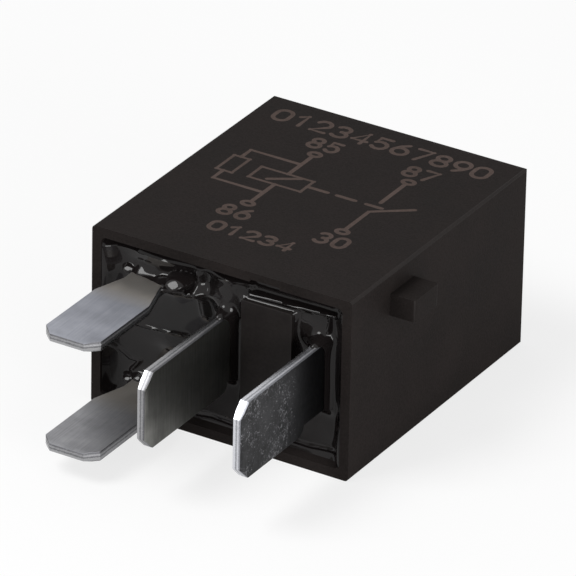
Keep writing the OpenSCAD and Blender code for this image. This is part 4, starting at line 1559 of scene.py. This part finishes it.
@dataclass
class Marking:
    """Laser marking on the upper face: a circuit, terminal numbers and plain numbers.

    Attributes:
        line: Width of a line.
        proud: Height of the foamed plastic above the face.
        length: Length of the case.
        top: Height of the upper face at the rim.
        fall: How far that face falls towards the closed end, per mm.
        digit_h: Height of the terminal numbers.
        digit_w: Width of one of their digits.
        pitch: Step from one digit to the next.
        numbers: Text, centre x and middle y of each terminal number.
        rings: Centre of each terminal's ring.
        upper_line: Plain numbers at the closed end.
        lower_line: Plain numbers near the rim.
    """

    line: float = 0.36
    proud: float = 0.003
    length: float = CASE_LENGTH
    top: float = 15.0
    fall: float = 0.02 / 25.55
    digit_h: float = 1.55
    digit_w: float = 1.0
    pitch: float = 1.5
    numbers: tuple[tuple[str, float, float], ...] = (
        ("85", -3.5, 20.6), ("87", 4.95, 20.5), ("86", -3.45, 7.6), ("30", 4.95, 7.6),
    )
    rings: tuple[Point, ...] = ((-3.35, 18.9), (4.9, 18.85), (-3.4, 9.3), (4.86, 9.24))
    upper_line: TextLine = ("01234567890", -0.05, 23.2, 1.25, 1.75, 1.75)
    lower_line: TextLine = ("01234", -0.45, 4.98, 1.05, 1.35, 1.49)

    def build(self) -> list[bpy.types.Object]:
        """Makes the three groups of marks.

        Returns:
            The pieces.
        """
        return [
            self.marked("marking_circuit", self.circuit()),
            self.marked(
                "marking_terminals",
                [s for text, x, y in self.numbers
                 for s in self.text(text, x, y, self.digit_w, self.digit_h, self.pitch)],
            ),
            self.marked(
                "marking_numbers",
                [s for t in (self.upper_line, self.lower_line) for s in self.text(*t)],
            ),
        ]

    def text(
        self, text: str, x: float, y: float, width: float, height: float, pitch: float
    ) -> list[Stroke]:
        """Strokes of a line of text.

        Args:
            text: Characters.
            x: Middle of the line across the case.
            y: Middle of its height, from the rim.
            width: Width of a character.
            height: Height of a character.
            pitch: Step from one character to the next.

        Returns:
            The strokes, in mm.
        """
        left = x - (pitch * (len(text) - 1) + width) / 2
        return [
            [(left + i * pitch + px * width, y + (py - 0.5) * height) for px, py in stroke]
            for i, sign in enumerate(text)
            for stroke in Glyph.strokes(sign)
        ]

    def circuit(self) -> list[Stroke]:
        """Draws the circuit: a coil with its resistor, and the open contact.

        Returns:
            The strokes, in mm, with their heights from the rim.
        """
        coil = [(-5.66, 13.04), (-1.1, 13.04), (-1.1, 15.0), (-5.66, 15.0), (-5.66, 13.04)]
        body = [(-8.4, 12.9), (-7.04, 12.9), (-7.04, 15.5), (-8.4, 15.5), (-8.4, 12.9)]
        lines = [
            coil, body, [(-4.3, 13.5), (-2.1, 14.9)],
            [(-3.35, 18.5), (-3.35, 15.0)], [(-3.35, 13.04), (-3.35, 9.7)],
            [(-7.8, 15.5), (-7.8, 16.9), (-3.35, 16.9)],
            [(-7.8, 12.9), (-7.8, 11.44), (-3.35, 11.44)],
            [(4.86, 18.45), (4.86, 14.8)], [(4.86, 9.65), (4.86, 13.1), (7.6, 15.2)],
            [(-1.1, 14.04), (0.7, 14.04)], [(1.5, 14.04), (3.1, 14.04)],
            [(4.06, 14.04), (5.4, 14.04)],
        ]
        return lines + [arc(x, y, 0.48, 0.34, 0, 360, 16) for x, y in self.rings]

    def marked(self, name: str, strokes: list[Stroke]) -> bpy.types.Object:
        """Makes Geometry Nodes marks: a flat bead along each stroke and a dot at each point.

        Args:
            name: Name of the piece.
            strokes: Strokes, in mm.

        Returns:
            The piece.
        """
        recipe = Recipe(name)
        tree = recipe.tree
        half = recipe.size("Half line width", self.line / 2 * MM)
        flat = recipe.size("Flattening", 2 * self.proud / self.line)
        paths = add(tree, "GeometryNodeMeshToCurve", {0: recipe.source.outputs["Geometry"]})
        ring = add(tree, "GeometryNodeCurvePrimitiveCircle", {"Resolution": 8, "Radius": half})
        bead = add(tree, "GeometryNodeCurveToMesh", {"Curve": paths, "Profile Curve": ring})
        ball = add(tree, "GeometryNodeMeshUVSphere", {"Segments": 12, "Rings": 5, "Radius": half})
        dots = add(
            tree, "GeometryNodeInstanceOnPoints",
            {"Points": recipe.source.outputs["Geometry"], "Instance": ball},
        )
        joined = add(tree, "GeometryNodeJoinGeometry")
        for part in (bead, dots):
            tree.links.new(part.outputs[0], joined.inputs[0])
        pressed = add(
            tree, "GeometryNodeTransform",
            {0: joined, "Scale": add(tree, "ShaderNodeCombineXYZ", {0: 1.0, 1: 1.0, 2: flat})},
        )
        recipe.finish(pressed, LASER.material())
        paths_3d = polylines([[(x * MM, y * MM, 0.0) for x, y in s] for s in strokes])
        work = bmesh.new()
        work.from_mesh(recipe.run(paths_3d))
        for v in work.verts:
            v.co.z += self.top * MM - v.co.y * self.fall
            v.co.y -= self.length / 2 * MM
        return place(shaded(work, 60), name, LASER, Body.CASE)


# --------------------------------------------------------------------------------------- stage


@dataclass
class Studio:
    """Floor, soft light and camera.

    Attributes:
        azimuth: Camera's angle round the relay, in degrees.
        elevation: Its angle above the floor.
        roll: Its turn about its own axis.
        distance: Its distance, in mm.
        focal: Focal length in widths of the picture.
        sensor: Width of the camera's sensor, in mm.
        clip: Nearest and farthest distance that the camera sees, in mm.
        aim: Point that it looks at, in mm.
        shift: Further move of that point to the right and up in the picture, in mm.
        ambient: Strength of the even light from all sides.
        floor_size: Half width of the floor, in mm.
        floor_gap: How far below the relay the floor lies, in mm.
        lamps: Name, place in mm, size across and up in mm, and power in watts of each lamp.
    """

    azimuth: float = 30.794
    elevation: float = 28.026
    roll: float = 1.166
    distance: float = 585.09
    focal: float = 13.6359375
    sensor: float = 36.0
    clip: Span = (10.0, 10000.0)
    aim: Place = (0.0, -8.0, 7.5)
    shift: Point = (2.459, 2.849)
    ambient: float = 0.45
    floor_size: float = 3000.0
    floor_gap: float = 0.01
    lamps: tuple[Lamp, ...] = (
        ("lamp_over_left", (-190.0, -205.0, 420.0), (220.0, 220.0), 1.6),
        ("lamp_right", (430.0, -230.0, 110.0), (260.0, 170.0), 1.4),
    )

    def build(self) -> None:
        """Makes the stage."""
        scene = bpy.context.scene
        scene.view_settings.view_transform = "Standard"
        self.sweep()
        self.sky(scene)
        for name, at, size, power in self.lamps:
            self.lamp(name, at, size, power)
        self.camera(scene)

    def sweep(self) -> None:
        """Lays the pale floor just under the relay."""
        work = bmesh.new()
        bmesh.ops.create_grid(work, x_segments=2, y_segments=2, size=self.floor_size * MM)
        mesh = bpy.data.meshes.new("floor")
        work.to_mesh(mesh)
        work.free()
        mesh.materials.append(FLOOR.material())
        floor = bpy.data.objects.new("floor", mesh)
        floor.location.z = -self.floor_gap * MM
        bpy.context.scene.collection.objects.link(floor)

    def sky(self, scene: bpy.types.Scene) -> None:
        """Sets an even pale surround, white to the eye and in gloss.

        Args:
            scene: Scene to light.
        """
        world = bpy.data.worlds.new("surround")
        scene.world = world
        world.use_nodes = True
        tree = world.node_tree
        tree.nodes.clear()
        rays = add(tree, "ShaderNodeLightPath").outputs
        seen = add(
            tree, "ShaderNodeMath",
            {0: rays["Is Camera Ray"], 1: rays["Is Glossy Ray"]}, operation="MAXIMUM",
        )
        any_ray = add(
            tree, "ShaderNodeMath", {0: seen, 1: rays["Is Transmission Ray"]}, operation="MAXIMUM"
        )
        level = add(
            tree, "ShaderNodeMapRange",
            {"Value": any_ray, "To Min": self.ambient, "To Max": 1.0},
        )
        light = add(tree, "ShaderNodeBackground", {"Color": linear("#FFFFFF"), "Strength": level})
        add(tree, "ShaderNodeOutputWorld", {"Surface": light})

    def lamp(self, name: str, at: Place, size: Point, power: float) -> None:
        """Hangs a soft lamp that faces the relay.

        Args:
            name: Name of the lamp.
            at: Its place, in mm.
            size: Its size across and up, in mm.
            power: Its power, in watts.
        """
        light = bpy.data.lights.new(name, "AREA")
        light.shape = "RECTANGLE"
        light.size, light.size_y = size[0] * MM, size[1] * MM
        light.energy = power
        held = bpy.data.objects.new(name, light)
        held.location = Vector(at) * MM
        way = Vector(self.aim) - Vector(at)
        held.rotation_euler = way.to_track_quat("-Z", "Y").to_euler()
        bpy.context.scene.collection.objects.link(held)

    def camera(self, scene: bpy.types.Scene) -> None:
        """Sets the camera from its angles.

        Args:
            scene: Scene that the camera is for.
        """
        a, e, r = (math.radians(v) for v in (self.azimuth, self.elevation, self.roll))
        back = Vector((math.sin(a) * math.cos(e), -math.cos(a) * math.cos(e), math.sin(e)))
        side = Vector((math.cos(a), math.sin(a), 0))
        up = back.cross(side)
        right = side * math.cos(r) + up * math.sin(r)
        top = up * math.cos(r) - side * math.sin(r)
        target = Vector(self.aim) + right * self.shift[0] + top * self.shift[1]
        data = bpy.data.cameras.new("camera")
        data.sensor_width = self.sensor
        data.lens = self.focal * self.sensor
        data.clip_start, data.clip_end = (far * MM for far in self.clip)
        held = bpy.data.objects.new("camera", data)
        held.matrix_world = Matrix.Translation((target + back * self.distance) * MM) @ Matrix(
            (right, top, back)
        ).transposed().to_4x4()
        scene.collection.objects.link(held)
        scene.camera = held


def report(name: str, pieces: Sequence[bpy.types.Object]) -> None:
    """Logs each piece of a sub-assembly.

    Args:
        name: Name of the sub-assembly.
        pieces: Its pieces.
    """
    for piece in pieces:
        log.info("%s: %s, %d faces", name, piece.name, len(piece.data.polygons))


def main() -> None:
    """Builds the relay's looks and its stage."""
    logging.basicConfig(level=logging.INFO, format="%(message)s")
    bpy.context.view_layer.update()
    for part in (Housing(), Blades(), Magnet(), Resistor(), Switch(), Marking()):
        report(type(part).__name__.lower(), part.build())
    Studio().build()


if __name__ == "__main__":
    main()
